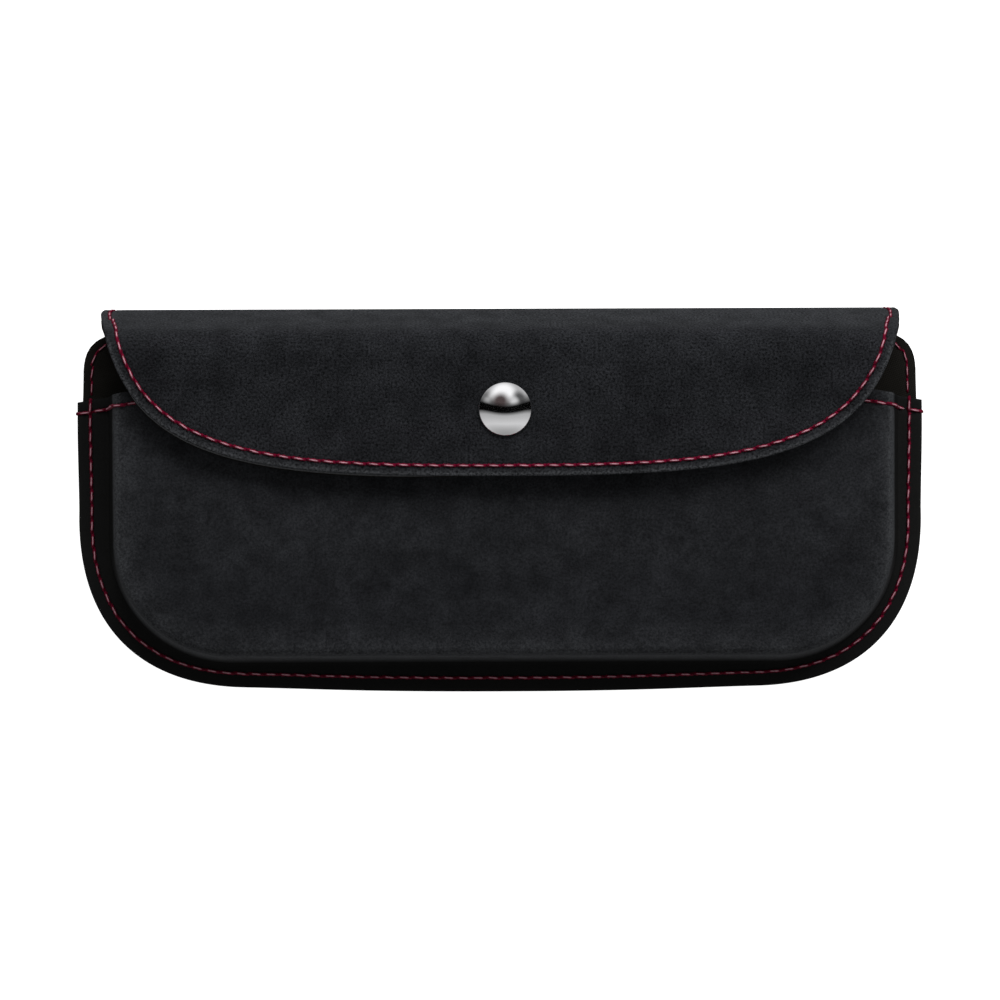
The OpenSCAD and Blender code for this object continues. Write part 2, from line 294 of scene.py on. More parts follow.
def wander(x, y, size, seed):
    """A smooth uneven field between about -1 and 1, with hollows and swells of the given size."""
    draw = np.random.default_rng(seed)
    total = np.zeros_like(x)
    for _ in range(6):
        angle, phase = draw.uniform(0, 2 * math.pi, 2)
        wave = 2 * math.pi / (size * draw.uniform(0.7, 1.6))
        total += np.sin(wave * (x * math.cos(angle) + y * math.sin(angle)) + phase)
    return total / 3


# ---------- outlines, as right-hand halves from the open end to the middle of the closed end ----------

def body_lower():
    """Side, lower corner and bottom edge shared by the back and the pocket, from y = -2 mm down."""
    w, h = BODY_HALF_W, BODY_HALF_H
    corner = bezier([(w - 0.3 * MM, -2 * MM), (w + 0.4 * MM, -26 * MM),
                     (w - 12 * MM, -h + 1.9 * MM), (w - 36 * MM, -h + 1.1 * MM)], 120)
    bottom = bezier([(w - 36 * MM, -h + 1.1 * MM), (40 * MM, -h + 0.7 * MM), (31.5 * MM, -h), (0, -h)], 120)
    return joined(corner, bottom)


def back_half():
    """The back sheet in (u, v): spine side, ear, side, corner and bottom."""
    w, f = BODY_HALF_W, FLAP_HALF_W
    notch = bezier([(f, 38.2 * MM), (f, 36.9 * MM), (f + 0.3 * MM, 36.7 * MM), (f + 1.4 * MM, 36.2 * MM)], 20)
    ear = bezier([notch[-1], (w - 3.2 * MM, 35.2 * MM), (w - 1.4 * MM, 33.6 * MM), (w - 1.2 * MM, 29 * MM)])
    side = bezier([ear[-1], (w - 1.1 * MM, 18 * MM), (w - 0.2 * MM, 8 * MM), (w - 0.3 * MM, -2 * MM)])
    lower = joined(notch, ear, side, body_lower())
    lower[:, 1] += BODY_HALF_H
    v = np.linspace(SPLIT_V, lower[0, 1], 60)
    upper = np.stack([spine_half_w(v), v], axis=1)
    return joined(upper, lower)


def spine_half_w(v):
    """Half width of the sheet where it spans the spine: it spreads a little over the back fold."""
    turn = SPINE_V - BACK_BEND_V
    stops = [BACK_BEND_V, BACK_BEND_V + 0.7 * turn, BACK_BEND_V + 0.85 * turn, SPINE_V + 1.5 * MM,
             SPLIT_V, FRONT_BEND_V]
    return FLAP_HALF_W + np.interp(v, stops, [0.0, 0.3 * MM, 0.75 * MM, 1.4 * MM, 0.9 * MM, -0.3 * MM])


def flap_half():
    """The flap sheet in (u, -v): spine side, front fold and the flap's curved edge."""
    f = spine_half_w(FRONT_BEND_V)
    plan = bezier([(f, high("front_fold_leather").y), (f - 6.1 * MM, FLAP_EDGE_Y + 1.5 * MM),
                   (50.5 * MM, FLAP_EDGE_Y), (0, FLAP_EDGE_Y)], 300)
    over = np.clip((plan[:, 1] - FRONT_BEND_Y) / FRONT_BEND_R, -1, math.cos(SPINE_LEAN))
    bend_v = FRONT_BEND_V + FRONT_BEND_R * (np.arccos(np.clip(over, 0, 1)) - SPINE_LEAN)
    v = np.where(over > 0, bend_v, FLAP_V + FRONT_BEND_Y - plan[:, 1])
    v_up = np.linspace(SPLIT_V, FRONT_BEND_V, 30)
    upper = np.stack([spine_half_w(v_up), v_up], axis=1)
    half = joined(upper, np.stack([plan[:, 0], v], axis=1))
    half[:, 1] *= -1
    return half


def pocket_half():
    """The pocket's flange in (x, y): side, corner and bottom."""
    w = BODY_HALF_W
    side = bezier([(w, mouth_at(w)), (w + 0.1 * MM, 12 * MM),
                   (w - 0.25 * MM, 5 * MM), (w - 0.3 * MM, -2 * MM)])
    return joined(side, body_lower())


def mouth_at(x):
    """Height of the pocket's arched mouth."""
    return MOUTH_Y - MOUTH_R + np.sqrt(MOUTH_R ** 2 - np.square(x))


# ---------- a sheet laid out as rings along its edge and a grid inside ----------

class Layout:
    """The flat layout of a sheet: its vertices, quads and border, and the offsets of its rings."""

    def __init__(self, half, seam_inset, ring_offsets, pitch, fine=None, extra=(), end_fade=30 * MM,
                 trim=None):
        tangent = unit(np.gradient(half, axis=0))
        inward = np.stack([tangent[:, 1], -tangent[:, 0]], axis=1)
        inset = seam_inset(half, inward)
        seam = half + inward * inset[:, None]
        along = lengths(seam)
        stitches = round(along[-1] / pitch)
        self.pitch = along[-1] / stitches
        stations = np.linspace(0, along[-1], stitches * STATIONS_PER_STITCH + 1)
        if fine is not None:
            middle = (stations[1:] + stations[:-1]) / 2
            wanted = fine(pick(half, along, middle))
            stations = np.concatenate([stations, middle[wanted]])
        stations = np.unique(np.round(np.concatenate([stations, extra]), 7))
        edge = pick(half, along, stations)
        edge[-1, 0] = 0
        facing = pick(inward, along, stations)
        facing[:, 1] *= ease((np.abs(facing[:, 1]) - 0.1) / 0.3)
        facing = unit(facing)
        facing[0], facing[-1] = (-1, 0), (0, 1)
        inset = np.interp(stations, along, inset)
        below = np.nonzero(facing[:, 1] < 0.7)[0][-1]
        self.corner = int(below) + 1
        self.edge = self.mirror(edge)
        self.facing = self.mirror(facing)
        self.inset = np.concatenate([inset, inset[-2::-1]])
        self.along = np.concatenate([stations, 2 * along[-1] - stations[-2::-1]])
        trimmed = trim(self.edge) if trim else 0.0
        self.rings = [ring(self.inset) + trimmed for ring in ring_offsets]
        self.end_fade = end_fade
        self.number()

    @staticmethod
    def mirror(points):
        """Carries a right-hand half on into its mirror image."""
        left = points[-2::-1].copy()
        left[:, 0] *= -1
        return np.concatenate([points, left])

    def number(self):
        """Numbers the vertices and makes the quads and the border."""
        n, r = len(self.edge), len(self.rings)
        k, self.columns = self.corner, n - 1 - 2 * self.corner
        self.ring_ids = np.arange(r * n).reshape(r, n)
        rows = []
        made = r * n
        for row in range(k):
            inner = np.arange(made, made + self.columns - 1)
            made += self.columns - 1
            rows.append(np.concatenate([[self.ring_ids[-1, row]], inner, [self.ring_ids[-1, n - 1 - row]]]))
        rows.append(self.ring_ids[-1, k:n - k])
        self.row_ids = np.array(rows)
        self.count = made
        a, b = self.ring_ids, self.row_ids
        self.quads = np.concatenate([
            np.stack([g[:-1, :-1], g[:-1, 1:], g[1:, 1:], g[1:, :-1]], axis=-1).reshape(-1, 4)
            for g in (a, b.T)])
        # the open end runs back from the left edge, through the grid's first row, to the right edge
        self.open_end = np.concatenate([a[:, -1], b[0, ::-1][1:-1], a[::-1, 0]])
        self.border = np.concatenate([a[0, :-1], self.open_end[:-1]])

    def fill(self, rings):
        """Completes ring values (rings, stations, 2) with the grid's, blending the closed end's shape in."""
        n = rings.shape[1]
        flat = np.zeros((self.count, 2))
        flat[self.ring_ids] = rings
        end = rings[-1, self.corner:n - self.corner]
        corner, left_corner = end[0], end[-1]
        across = (end[1:-1, 0] - corner[0]) / (left_corner[0] - corner[0])
        for row in range(self.corner):
            at, left = rings[-1, row], rings[-1, n - 1 - row]
            fade = ease(1 - (at[1] - corner[1]) / self.end_fade)
            flat[self.row_ids[row, 1:-1], 0] = at[0] + (left[0] - at[0]) * across
            flat[self.row_ids[row, 1:-1], 1] = at[1] + (end[1:-1, 1] - corner[1]) * fade
        return flat

    def edge_distance(self):
        """Each vertex's distance from the cut edge, as far as the rings reach."""
        values = np.full(self.count, self.rings[-1].min(), float)
        values[self.ring_ids] = np.array(self.rings)
        return values


def edge_rings(reach=1.0, step=1.0):
    """Offsets from the cut edge: its rounded corner, the stitched valley and a first step inwards."""
    fixed = [lambda s, d=d: np.full_like(s, d * MM) for d in (0, 0.08, 0.24, 0.6, 1.0)]
    seam = [lambda s, d=d: s + d * MM for d in (-0.5, -0.25, 0, 0.25, 0.5, step, step + reach)]
    return fixed + seam


def back_seam_inset(half, inward):
    down = np.clip((BODY_HALF_H + 24 * MM - half[:, 1]) / (26 * MM), 0, 1)
    return 1.9 * MM + down * (0.95 * MM + 0.2 * MM * np.clip(inward[:, 1], 0, 1) ** 2)


def flap_seam_inset(half, inward):
    return 2.3 * MM + 0.2 * MM * bump(np.abs(half[:, 0]) - 72 * MM, 20 * MM)


def pocket_seam_inset(half, inward):
    return 2.85 * MM + 0.2 * MM * np.clip(inward[:, 1], 0, 1) ** 2


# ---------- the three surfaces of the case ----------

def roll(u, v, lift=0.0):
    """Places flat (u, v) on the outer leather as it goes up the back, over the spine and down the flap."""
    u = u + 0.35 * MM * ease((v - BACK_BEND_V) / (FRONT_BEND_V - BACK_BEND_V))
    y = v - BODY_HALF_H
    z = np.zeros_like(v)
    ny, nz = np.zeros_like(v), np.full_like(v, -1.0)
    on = v > BACK_BEND_V
    a = np.clip((v - BACK_BEND_V) / BACK_BEND_R, 0, math.pi / 2 + SPINE_LEAN)
    y = np.where(on, BACK_BEND_Y + BACK_BEND_R * np.sin(a), y)
    z = np.where(on, BACK_BEND_R * (1 - np.cos(a)), z)
    ny, nz = np.where(on, np.sin(a), ny), np.where(on, -np.cos(a), nz)
    s = np.clip(v - SPINE_V, 0, SPINE_LEN)
    y -= s * math.sin(SPINE_LEAN)
    z += s * math.cos(SPINE_LEAN)
    on = v > FRONT_BEND_V
    b = np.clip((v - FRONT_BEND_V) / FRONT_BEND_R + SPINE_LEAN, 0, math.pi / 2)
    y = np.where(on, FRONT_BEND_Y + FRONT_BEND_R * np.cos(b), y)
    z = np.where(on, FRONT_BEND_Z + FRONT_BEND_R * np.sin(b), z)
    ny, nz = np.where(on, np.cos(b), ny), np.where(on, np.sin(b), nz)
    y -= np.clip(v - FLAP_V, 0, None)
    normal = np.stack([np.zeros_like(v), ny, nz], axis=1)
    return np.stack([u, y, z], axis=1) + normal * np.reshape(lift, (-1, 1)), normal


def face_z(y):
    """Height of the pocket's face, which falls a little towards the bottom."""
    return FACE_Z + FACE_FALL * (y - SNAP.y) / (SNAP.y + FACE_DROP)


def pocket_section():
    """Foot, wall and shoulder of the pocket as (growth beyond the face, share of the way up, drop)."""
    section = []
    foot_r = 0.8 * MM
    for angle in (0, 25, 50, 75):
        a = math.radians(angle)
        grow = WALL_DRAFT + 0.75 * foot_r - foot_r * math.sin(a)
        section.append((grow, 0.0, -foot_r * (1 - math.cos(a))))
    for share in np.linspace(0.12, 0.82, 8):
        section.append((WALL_DRAFT * (1 - share / 0.84) + 0.05 * MM, share, 0.0))
    for angle in (10, 22, 34, 46, 58, 70, 81, 90):
        a = math.radians(angle)
        section.append((SHOULDER_R * (math.cos(a) - 1), 1.0, SHOULDER_R * (1 - math.sin(a))))
    for grow in (-2.9, -4.4, -6.8):
        section.append((grow * MM, 1.0, 0.0))
    return section


def face_outline(points, grow):
    """The nearest point of the raised face's outline, grown by grow, to each point of the flange."""
    cx, cy = FACE_HALF_W - FACE_CORNER_R, FACE_CORNER_R - FACE_DROP
    x, side = points[:, 0] - FACE_X, np.sign(points[:, 0])
    away = np.stack([x * side - cx, np.minimum(points[:, 1] - cy, 0)], axis=1)
    beside = away[:, 0] < 0
    direction = unit(np.where(beside[:, None], [0.0, -1.0], away))
    centre = np.stack([np.where(beside, x * side, cx), np.maximum(points[:, 1], cy)], axis=1)
    found = centre + direction * (FACE_CORNER_R + grow)
    found[:, 0] = found[:, 0] * np.where(side == 0, 1, side) + FACE_X
    return found


def smooth_normals(points, quads):
    a, b, c, d = (points[quads[:, i]] for i in range(4))
    face = np.cross(c - a, d - b)
    total = np.zeros_like(points)
    for i in range(4):
        np.add.at(total, quads[:, i], face)
    return unit(total)


class Surface:
    """The outer face of a sheet in space, which its plies are cut from."""

    def __init__(self, layout, place, normal, flat, edge, rub, press, flip):
        self.layout, self.place, self.normal, self.flat = layout, place, normal, flat
        self.edge, self.rub, self.press, self.below = edge, rub, press, None
        self.quads = layout.quads[:, ::-1] if flip else layout.quads
        self.border = layout.border[::-1] if flip else layout.border


def back_surface(pitch, trim=None):
    layout = Layout(back_half(), back_seam_inset, edge_rings(), pitch,
                    fine=lambda p: p[:, 1] > BACK_BEND_V - 3 * MM, trim=trim)
    offset = np.array(layout.rings)[:, :, None]
    flat = layout.fill(layout.edge[None] + layout.facing[None] * offset)
    place, normal = roll(flat[:, 0], flat[:, 1])
    surface = finish_surface(layout, place, normal, flat, layout.edge_distance())
    # painted highlight over the back fold and the spine, which face the key light
    surface.rub = 0.45 * ease((flat[:, 1] - BACK_BEND_V) / BACK_BEND_R)
    surface.rub -= 0.1 * ease((flat[:, 1] - SPINE_V) / (SPLIT_V - SPINE_V))
    return surface


def flap_surface(pitch, trim=None):
    layout = Layout(flap_half(), flap_seam_inset, edge_rings(), pitch,
                    fine=lambda p: -p[:, 1] < FLAP_V + 2 * MM, end_fade=16 * MM, trim=trim)
    offset = np.array(layout.rings)[:, :, None]
    flat = layout.fill(layout.edge[None] + layout.facing[None] * offset)
    flat[:, 1] *= -1
    u, v = flat[:, 0], flat[:, 1]
    on_flap = ease((v - FLAP_V) / (8 * MM))
    from_snap = np.hypot(u - SNAP.x, FLAP_V + FRONT_BEND_Y - v - SNAP.y)
    lift = on_flap * (0.14 * MM * wander(u, v, 60 * MM, 5) * ease(from_snap / (25 * MM)))
    lift += on_flap * 0.35 * MM * (1 - ease(from_snap / (60 * MM)))
    lift -= on_flap * 0.35 * MM + 0.22 * MM * bump(from_snap, 7.5 * MM)
    place, normal = roll(u, v, lift)
    surface = finish_surface(layout, place, normal, flat, layout.edge_distance())
    # painted highlight: a thin lighter line along the flap's cut edge, and lighter leather over the spine and the
    # front fold, which face the key light
    lip = bump(surface.edge - 0.35 * MM, 0.55 * MM) * ease((v - FLAP_V) / (8 * MM) + 1)
    surface.rub = np.maximum(lip, 0.35 * (1 - ease((v - SPLIT_V) / (FLAP_V - 3 * MM - SPLIT_V))))
    return surface


def stepped(edge):
    """Where the inner plies stand a little proud of the leather: the flap's left-hand edge."""
    return ease(-edge[:, 0] / (30 * MM)) * ease((-edge[:, 1] - FLAP_V) / (12 * MM))


def finish_surface(layout, place, normal, flat, edge):
    facing = smooth_normals(place, layout.quads)
    flip = float(np.sum(facing * normal)) < 0
    normal = -facing if flip else facing
    flat = np.column_stack([flat, np.zeros(len(flat))])
    return Surface(layout, place, normal, flat, edge, np.zeros(len(place)), np.zeros(len(place)), flip)


def pocket_surface(pitch, trim=None):
    rings = edge_rings(reach=0.1, step=0.75)
    section = pocket_section()
    extra = np.append(np.array([0.1, 0.28, 0.7, 1.8, 2.3, 2.9, 3.9]) * MM, MOUTH_SEAM_INSET)
    layout = Layout(pocket_half(), pocket_seam_inset, rings + [lambda s: s] * len(section), pitch,
                    extra=extra, end_fade=28 * MM, trim=trim)
    count = len(rings)
    chain = layout.edge[None] + layout.facing[None] * np.array(layout.rings[:count])[:, :, None]
    inner = np.array([face_outline(layout.edge, grow) for grow, _, _ in section])
    room = np.sum((inner - chain[-1]) * layout.facing, axis=2)
    least = 0.05 * MM * (1 + np.arange(len(section)))[:, None]
    inner += layout.facing * np.maximum(least - room, 0)[:, :, None]
    flat = layout.fill(np.concatenate([chain, inner]))
    open_y = mouth_at(BODY_HALF_W)
    below = open_y - flat[:, 1]
    flat[:, 1] += (mouth_at(flat[:, 0]) - open_y) * ease(1 - below / (28 * MM))
    share = np.zeros(layout.count)
    drop = np.zeros(layout.count)
    share[layout.row_ids] = 1.0
    for ring, (_, up, down) in enumerate(section, count):
        share[layout.ring_ids[ring]] = up
        drop[layout.ring_ids[ring]] = down
    share[layout.ring_ids[:count]] = 0.0
    x, y = flat.T
    crown = -0.5 * MM * (x / FACE_HALF_W) ** 2 - 0.25 * MM * ((y - SNAP.y) / (50 * MM)) ** 2
    crown += 0.12 * MM * wander(x, y, 55 * MM, 8) * ease(np.hypot(x - SNAP.x, y - SNAP.y) / (18 * MM))
    z = FLANGE_Z + share * (face_z(y) - FLANGE_Z + crown) - drop
    place = np.column_stack([x, y, z])
    edge = layout.edge_distance()
    edge[layout.ring_ids[count:]] = 9 * MM
    edge[layout.row_ids[:, 1:-1]] = 9 * MM
    edge = np.minimum(edge, below)
    up = np.tile([0.0, 0.0, 1.0], (layout.count, 1))
    surface = finish_surface(layout, place, up, flat, edge)
    surface.flat = place.copy()
    foot = ease((-10 * MM - y) / (15 * MM))
    # press marks flange and walls: smoother leather with less grain, and a colour a little darker as painted shade
    crisp = np.where(share > 0.99, ease((drop - 0.75 * MM) / (0.5 * MM)), 1.0)
    gentle = 1 - ease((share - 0.1) / 0.9) * (0.5 + 0.5 * ease(1.4 - drop / (1.9 * MM)))
    surface.press = crisp + (gentle - crisp) * foot
    inside = np.full(layout.count, 30 * MM)
    for ring, (grow, _, _) in enumerate(section, count):
        inside[layout.ring_ids[ring]] = -grow
    # painted highlight: a narrow lighter line on the rim's shoulder, a lighter face near the rim, and lighter upper
    # walls at the bottom, where the face casts its shade
    crest = bump(drop - (0.6 + 0.7 * foot) * MM, (0.35 + 0.2 * foot) * MM)
    surface.rub = (share > 0.99) * (1.6 * crest + 0.75 * np.exp(-inside / (2.6 * MM)))
    surface.rub = np.maximum(surface.rub, 0.6 * foot * (share < 0.99) * ease((share - 0.05) / 0.8))
    surface.below = below
    return surface


def cut_size(surface):
    """Width, length and area of the flat blank that a sheet is cut from."""
    a, b, c, d = (surface.place[surface.quads[:, i]] for i in range(4))
    area = float(np.linalg.norm(np.cross(c - a, d - b), axis=1).sum() / 2)
    if surface.below is None:
        spans = np.ptp(surface.flat, axis=0)
        return {"flat": (float(spans[0]), float(spans[1])), "area": area}
    layout = surface.layout
    middle = layout.ring_ids.shape[1] // 2
    centre = np.concatenate([layout.ring_ids[:, middle], layout.row_ids[::-1, layout.columns // 2]])
    spans = (lengths(surface.place[line])[-1] for line in (mouth_row(surface), centre))
    return {"flat": tuple(float(span) for span in spans), "area": area}


# ---------- plies ----------

def rounding(edge, radius):
    """How far a cut edge's corner is rounded away at a distance from the edge."""
    t = 1 - np.clip(edge / radius, 0, 1)
    return radius * (1 - np.sqrt(1 - t * t))


def seam_valley(surface, depth, pucker):
    """Depth of the valley that the perimeter stitches pull into a sheet, deeper at each needle hole."""
    layout = surface.layout
    rows = slice(0, len(edge_rings()))
    offset = np.array(layout.rings[rows]) - layout.inset[None]
    holes = 0.5 + 0.5 * np.cos(2 * math.pi * layout.along / layout.pitch)
    valley = np.zeros(layout.count)
    valley[layout.ring_ids[rows]] = bump(offset, 0.55 * MM) * (depth + pucker * holes[None])
    return valley


def make_object(name, vertices, faces, material):
    mesh = bpy.data.meshes.new(name)
    mesh.from_pydata(vertices.tolist(), [], [tuple(int(i) for i in f) for f in faces])
    mesh.polygons.foreach_set("use_smooth", np.ones(len(mesh.polygons), bool))
    mesh.materials.append(material)
    piece = bpy.data.objects.new(name, mesh)
    bpy.context.scene.collection.objects.link(piece)
    return piece


def store(piece, name, kind, values):
    attribute = piece.data.attributes.new(name, kind, "POINT")
    field = "vector" if kind == "FLOAT_VECTOR" else "value"
    attribute.data.foreach_set(field, np.ravel(values).astype(np.float32))


def ply(name, surface, top, bottom, material, corner=(0.3 * MM, 0.12 * MM), valley=0.0, under_valley=0.0,
        flat_end=True):
    """One layer of a sheet, from the depth top to the depth bottom under its outer face."""
    upper = top + rounding(surface.edge, corner[0]) + valley
    lower = bottom - rounding(surface.edge, corner[1]) - under_valley
    n = surface.layout.count
    vertices = np.concatenate([surface.place - surface.normal * upper[:, None],
                               surface.place - surface.normal * lower[:, None]])
    loop = surface.border
    after = np.roll(loop, -1)
    wall = np.stack([loop, loop + n, after + n, after], axis=1)
    faces = np.concatenate([surface.quads, surface.quads[:, ::-1] + n, wall])
    piece = make_object(name, vertices, faces, material)
    depth = np.concatenate([np.full(n, top), np.full(n, bottom)])
    flat = np.concatenate([surface.flat, surface.flat])
    flat[:, 2] -= depth
    store(piece, "flat", "FLOAT_VECTOR", flat)
    # masks for the painted highlight, and for the pressed finish, whose colour is partly painted shade
    store(piece, "rub", "FLOAT", np.concatenate([surface.rub, surface.rub]))
    store(piece, "press", "FLOAT", np.concatenate([surface.press, surface.press]))
    if flat_end:
        mark_cut(piece, set(surface.layout.open_end.tolist()), n)
    return piece


def mark_cut(piece, end, n):
    """Keeps the flat cut at a sheet's open end from shading into its faces."""
    for e in piece.data.edges:
        a, b = e.vertices
        if (a % n) in end and (b % n) in end and (a < n) == (b < n):
            e.use_edge_sharp = True


# ---------- materials ----------

class Shader:
    """A small helper that adds and links nodes of one material."""

    def __init__(self, name):
        self.material = bpy.data.materials.new(name)
        self.material.use_nodes = True
        self.tree = self.material.node_tree
        self.surface = self.tree.nodes["Principled BSDF"]

    def add(self, kind, **settings):
        node = self.tree.nodes.new(kind)
        inputs = settings.pop("inputs", {})
        for key, value in settings.items():
            setattr(node, key, value)
        for key, value in inputs.items():
            if isinstance(value, bpy.types.NodeSocket):
                self.tree.links.new(value, node.inputs[key])
            else:
                node.inputs[key].default_value = value
        return node

    def set(self, **values):
        for key, value in values.items():
            socket = self.surface.inputs[key.replace("_", " ")]
            if isinstance(value, bpy.types.NodeSocket):
                self.tree.links.new(value, socket)
            else:
                socket.default_value = value

    def attribute(self, name):
        return self.add("ShaderNodeAttribute", attribute_name=name)

    def noise(self, where, scale, detail=2.0, rough=0.5):
        node = self.add("ShaderNodeTexNoise", inputs={
            "Vector": where, "Scale": scale, "Detail": detail, "Roughness": rough})
        return node.outputs["Fac"]

    def ramp(self, value, stops):
        node = self.add("ShaderNodeValToRGB", inputs={"Fac": value})
        band = node.color_ramp
        while len(band.elements) < len(stops):
            band.elements.new(0.5)
        for element, (place, color) in zip(band.elements, stops):
            element.position = place
            element.color = (*color, 1) if len(color) == 3 else color
        return node.outputs["Color"]

    def mix(self, share, a, b, blend="MIX"):
        node = self.add("ShaderNodeMix", data_type="RGBA", blend_type=blend)
        for key, value in ((0, share), (6, a), (7, b)):
            if isinstance(value, bpy.types.NodeSocket):
                self.tree.links.new(value, node.inputs[key])
            elif key == 0:
                node.inputs[key].default_value = value
            else:
                node.inputs[key].default_value = (*value, 1)
        return node.outputs[2]

    def math(self, operation, a, b=0.0, c=0.0, clamp=False):
        node = self.add("ShaderNodeMath", operation=operation, use_clamp=clamp)
        for key, value in ((0, a), (1, b), (2, c)):
            if isinstance(value, bpy.types.NodeSocket):
                self.tree.links.new(value, node.inputs[key])
            else:
                node.inputs[key].default_value = value
        return node.outputs[0]

    def bump(self, height, distance, strength=1.0, normal=None):
        inputs = {"Height": height, "Distance": distance, "Strength": strength}
        if normal is not None:
            inputs["Normal"] = normal
        return self.add("ShaderNodeBump", inputs=inputs).outputs["Normal"]


def nubuck(name, look, moulded=False):
    """Buffed leather with a fine nap: cloudy; where the mould pressed it, smoother with less grain and a little
    darker, partly as painted shade; lighter with a painted highlight on folds, rims and cut edges.
    """
    s = Shader(name)
    where = s.attribute("flat").outputs["Vector"]
    rub = s.attribute("rub").outputs["Fac"]
    press = s.attribute("press").outputs["Fac"]
    clouds = s.noise(where, 48, 4.0, 0.62)
    streaks = s.noise(where, 190, 3.0, 0.6)
    grain = s.noise(where, 1900, 4.0, 0.82)
    fibre = s.noise(where, 5200, 1.0, 0.5)
    base = tuple(look.nap_color)
    dark = tuple(c * 0.62 for c in base)
    pale = tuple(c * 1.55 for c in base)
    color = s.ramp(clouds, [(0.32, dark), (0.5, base), (0.72, pale)])
    color = s.mix(0.35, color, s.ramp(streaks, [(0.35, dark), (0.65, pale)]))
    # the pressed colour is a little darker and greyer: partly the pressed finish, partly painted shade on flange and
    # walls
    color = s.mix(s.math("MULTIPLY", press, 0.88), color, tuple(look.pressed_color))
    # painted highlight: the colour is painted lighter on folds, rims and cut edges, broken up patchily by streaks and
    # grain
    patchy = s.math("MULTIPLY", s.math("MULTIPLY", streaks, 2.0), s.math("MULTIPLY", grain, 2.0))
    highlighted = s.math("MULTIPLY", rub, patchy, clamp=True)
    color = s.mix(s.math("MULTIPLY", highlighted, look.wear), color, tuple(look.rubbed_color))
    contrast = look.grain * (0.5 if moulded else 1.0)
    dim, lit = 1 - contrast, 1 + contrast
    flecks = s.ramp(grain, [(0.36, (dim, dim, dim)), (0.66, (lit, lit, lit))])
    color = s.mix(s.math("MULTIPLY_ADD", press, -0.85, 1.0), color, flecks, "MULTIPLY")
    rough = s.math("MULTIPLY_ADD", press, -0.28, 0.86)
    s.set(Base_Color=color, Roughness=rough, IOR=1.45, Specular_IOR_Level=0.07,
          Sheen_Weight=look.sheen, Sheen_Roughness=0.55, Sheen_Tint=(0.75, 0.8, 0.9, 1))
    if moulded:  # the mould pressed the nap flat on flange and walls
        soft = s.math("SUBTRACT", 1.0, press, clamp=True)
        s.set(Sheen_Weight=s.math("MULTIPLY", soft, look.sheen),
              Specular_IOR_Level=s.math("MULTIPLY", soft, 0.07))
    height = s.math("ADD", s.math("MULTIPLY", grain, 0.7), s.math("MULTIPLY", fibre, 0.3))
    s.set(Normal=s.bump(height, 0.16 * MM, 0.75, s.bump(streaks, 0.35 * MM, 0.35)))
    return s.material


def lining_cloth(name, look):
    """Close-woven black cloth with a short pile."""
    s = Shader(name)
    where = s.attribute("flat").outputs["Vector"]
    parts = s.add("ShaderNodeSeparateXYZ", inputs={"Vector": where}).outputs
    wave = 2 * math.pi / (0.62 * MM)
    over = s.math("SINE", s.math("MULTIPLY", s.math("ADD", parts["X"], parts["Y"]), wave))
    under = s.math("SINE", s.math("MULTIPLY", s.math("SUBTRACT", parts["X"], parts["Y"]), wave * 0.5))
    weave = s.math("MULTIPLY_ADD", s.math("MULTIPLY", over, under), 0.5, 0.5)
    fuzz = s.noise(where, 3800, 2.0, 0.6)
    cloud = s.noise(where, 70, 3.0, 0.6)
    base = tuple(look.lining_color)
    color = s.ramp(cloud, [(0.3, tuple(c * 0.7 for c in base)), (0.7, tuple(c * 1.35 for c in base))])
    color = s.mix(0.5, color, s.ramp(weave, [(0.1, (0.55, 0.55, 0.55)), (0.9, (1.4, 1.4, 1.4))]), "MULTIPLY")
    s.set(Base_Color=color, Roughness=0.95, IOR=1.4, Specular_IOR_Level=0.02)
    height = s.math("ADD", s.math("MULTIPLY", weave, 0.7), s.math("MULTIPLY", fuzz, 0.5))
    s.set(Normal=s.bump(height, 0.12 * MM, 0.8))
    return s.material


def felted(name, look):
    """Non-woven backing that shows only as a thin line between two cut edges."""
    s = Shader(name)
    where = s.attribute("flat").outputs["Vector"]
    fibre = s.noise(where, 2600, 3.0, 0.7)
    base = tuple(look.backing_color)
    color = s.ramp(fibre, [(0.3, tuple(c * 0.6 for c in base)), (0.7, tuple(c * 1.6 for c in base))])
    s.set(Base_Color=color, Roughness=0.98, Normal=s.bump(fibre, 0.1 * MM, 0.8))
    return s.material


def twisted_thread(name, look):
    """Glossy three-ply sewing thread with a slanting twist, with a pale painted highlight along each stitch's crest
    and a little painted shade towards its sides and ends.
    """
    s = Shader(name)
    where = s.add("ShaderNodeTexCoord").outputs["Object"]
    spot = s.add("ShaderNodeSeparateXYZ", inputs={"Vector": s.attribute("spot").outputs["Vector"]}).outputs
    across, along = s.math("MULTIPLY", spot["Y"], spot["Y"]), s.math("MULTIPLY", spot["X"], spot["X"])
    crest = s.math("MULTIPLY", s.math("SUBTRACT", 1.0, across),
                   s.math("SUBTRACT", 1.0, s.math("MULTIPLY", along, along)), clamp=True)
    fibre = s.noise(where, 6500, 2.0, 0.6)
    uneven = s.noise(where, 240, 1.0, 0.5)
    base = tuple(look.thread_color)
    # painted shade at the thread's sides and ends, and a painted highlight at its crest
    thread_side_shade = tuple(c * 0.9 for c in base)
    color = s.ramp(crest, [(0.05, thread_side_shade), (0.84, base), (0.98, tuple(look.thread_shine))])
    color = s.mix(0.4, color, s.ramp(fibre, [(0.35, (0.6, 0.6, 0.6)), (0.65, (1.3, 1.3, 1.3))]), "MULTIPLY")
    color = s.mix(0.5, color, s.ramp(uneven, [(0.3, (0.7, 0.7, 0.7)), (0.7, (1.2, 1.2, 1.2))]), "MULTIPLY")
    s.set(Base_Color=color, Roughness=0.5, IOR=1.5, Specular_IOR_Level=0.12)
    s.set(Normal=s.bump(fibre, 0.05 * MM, 0.6))
    return s.material


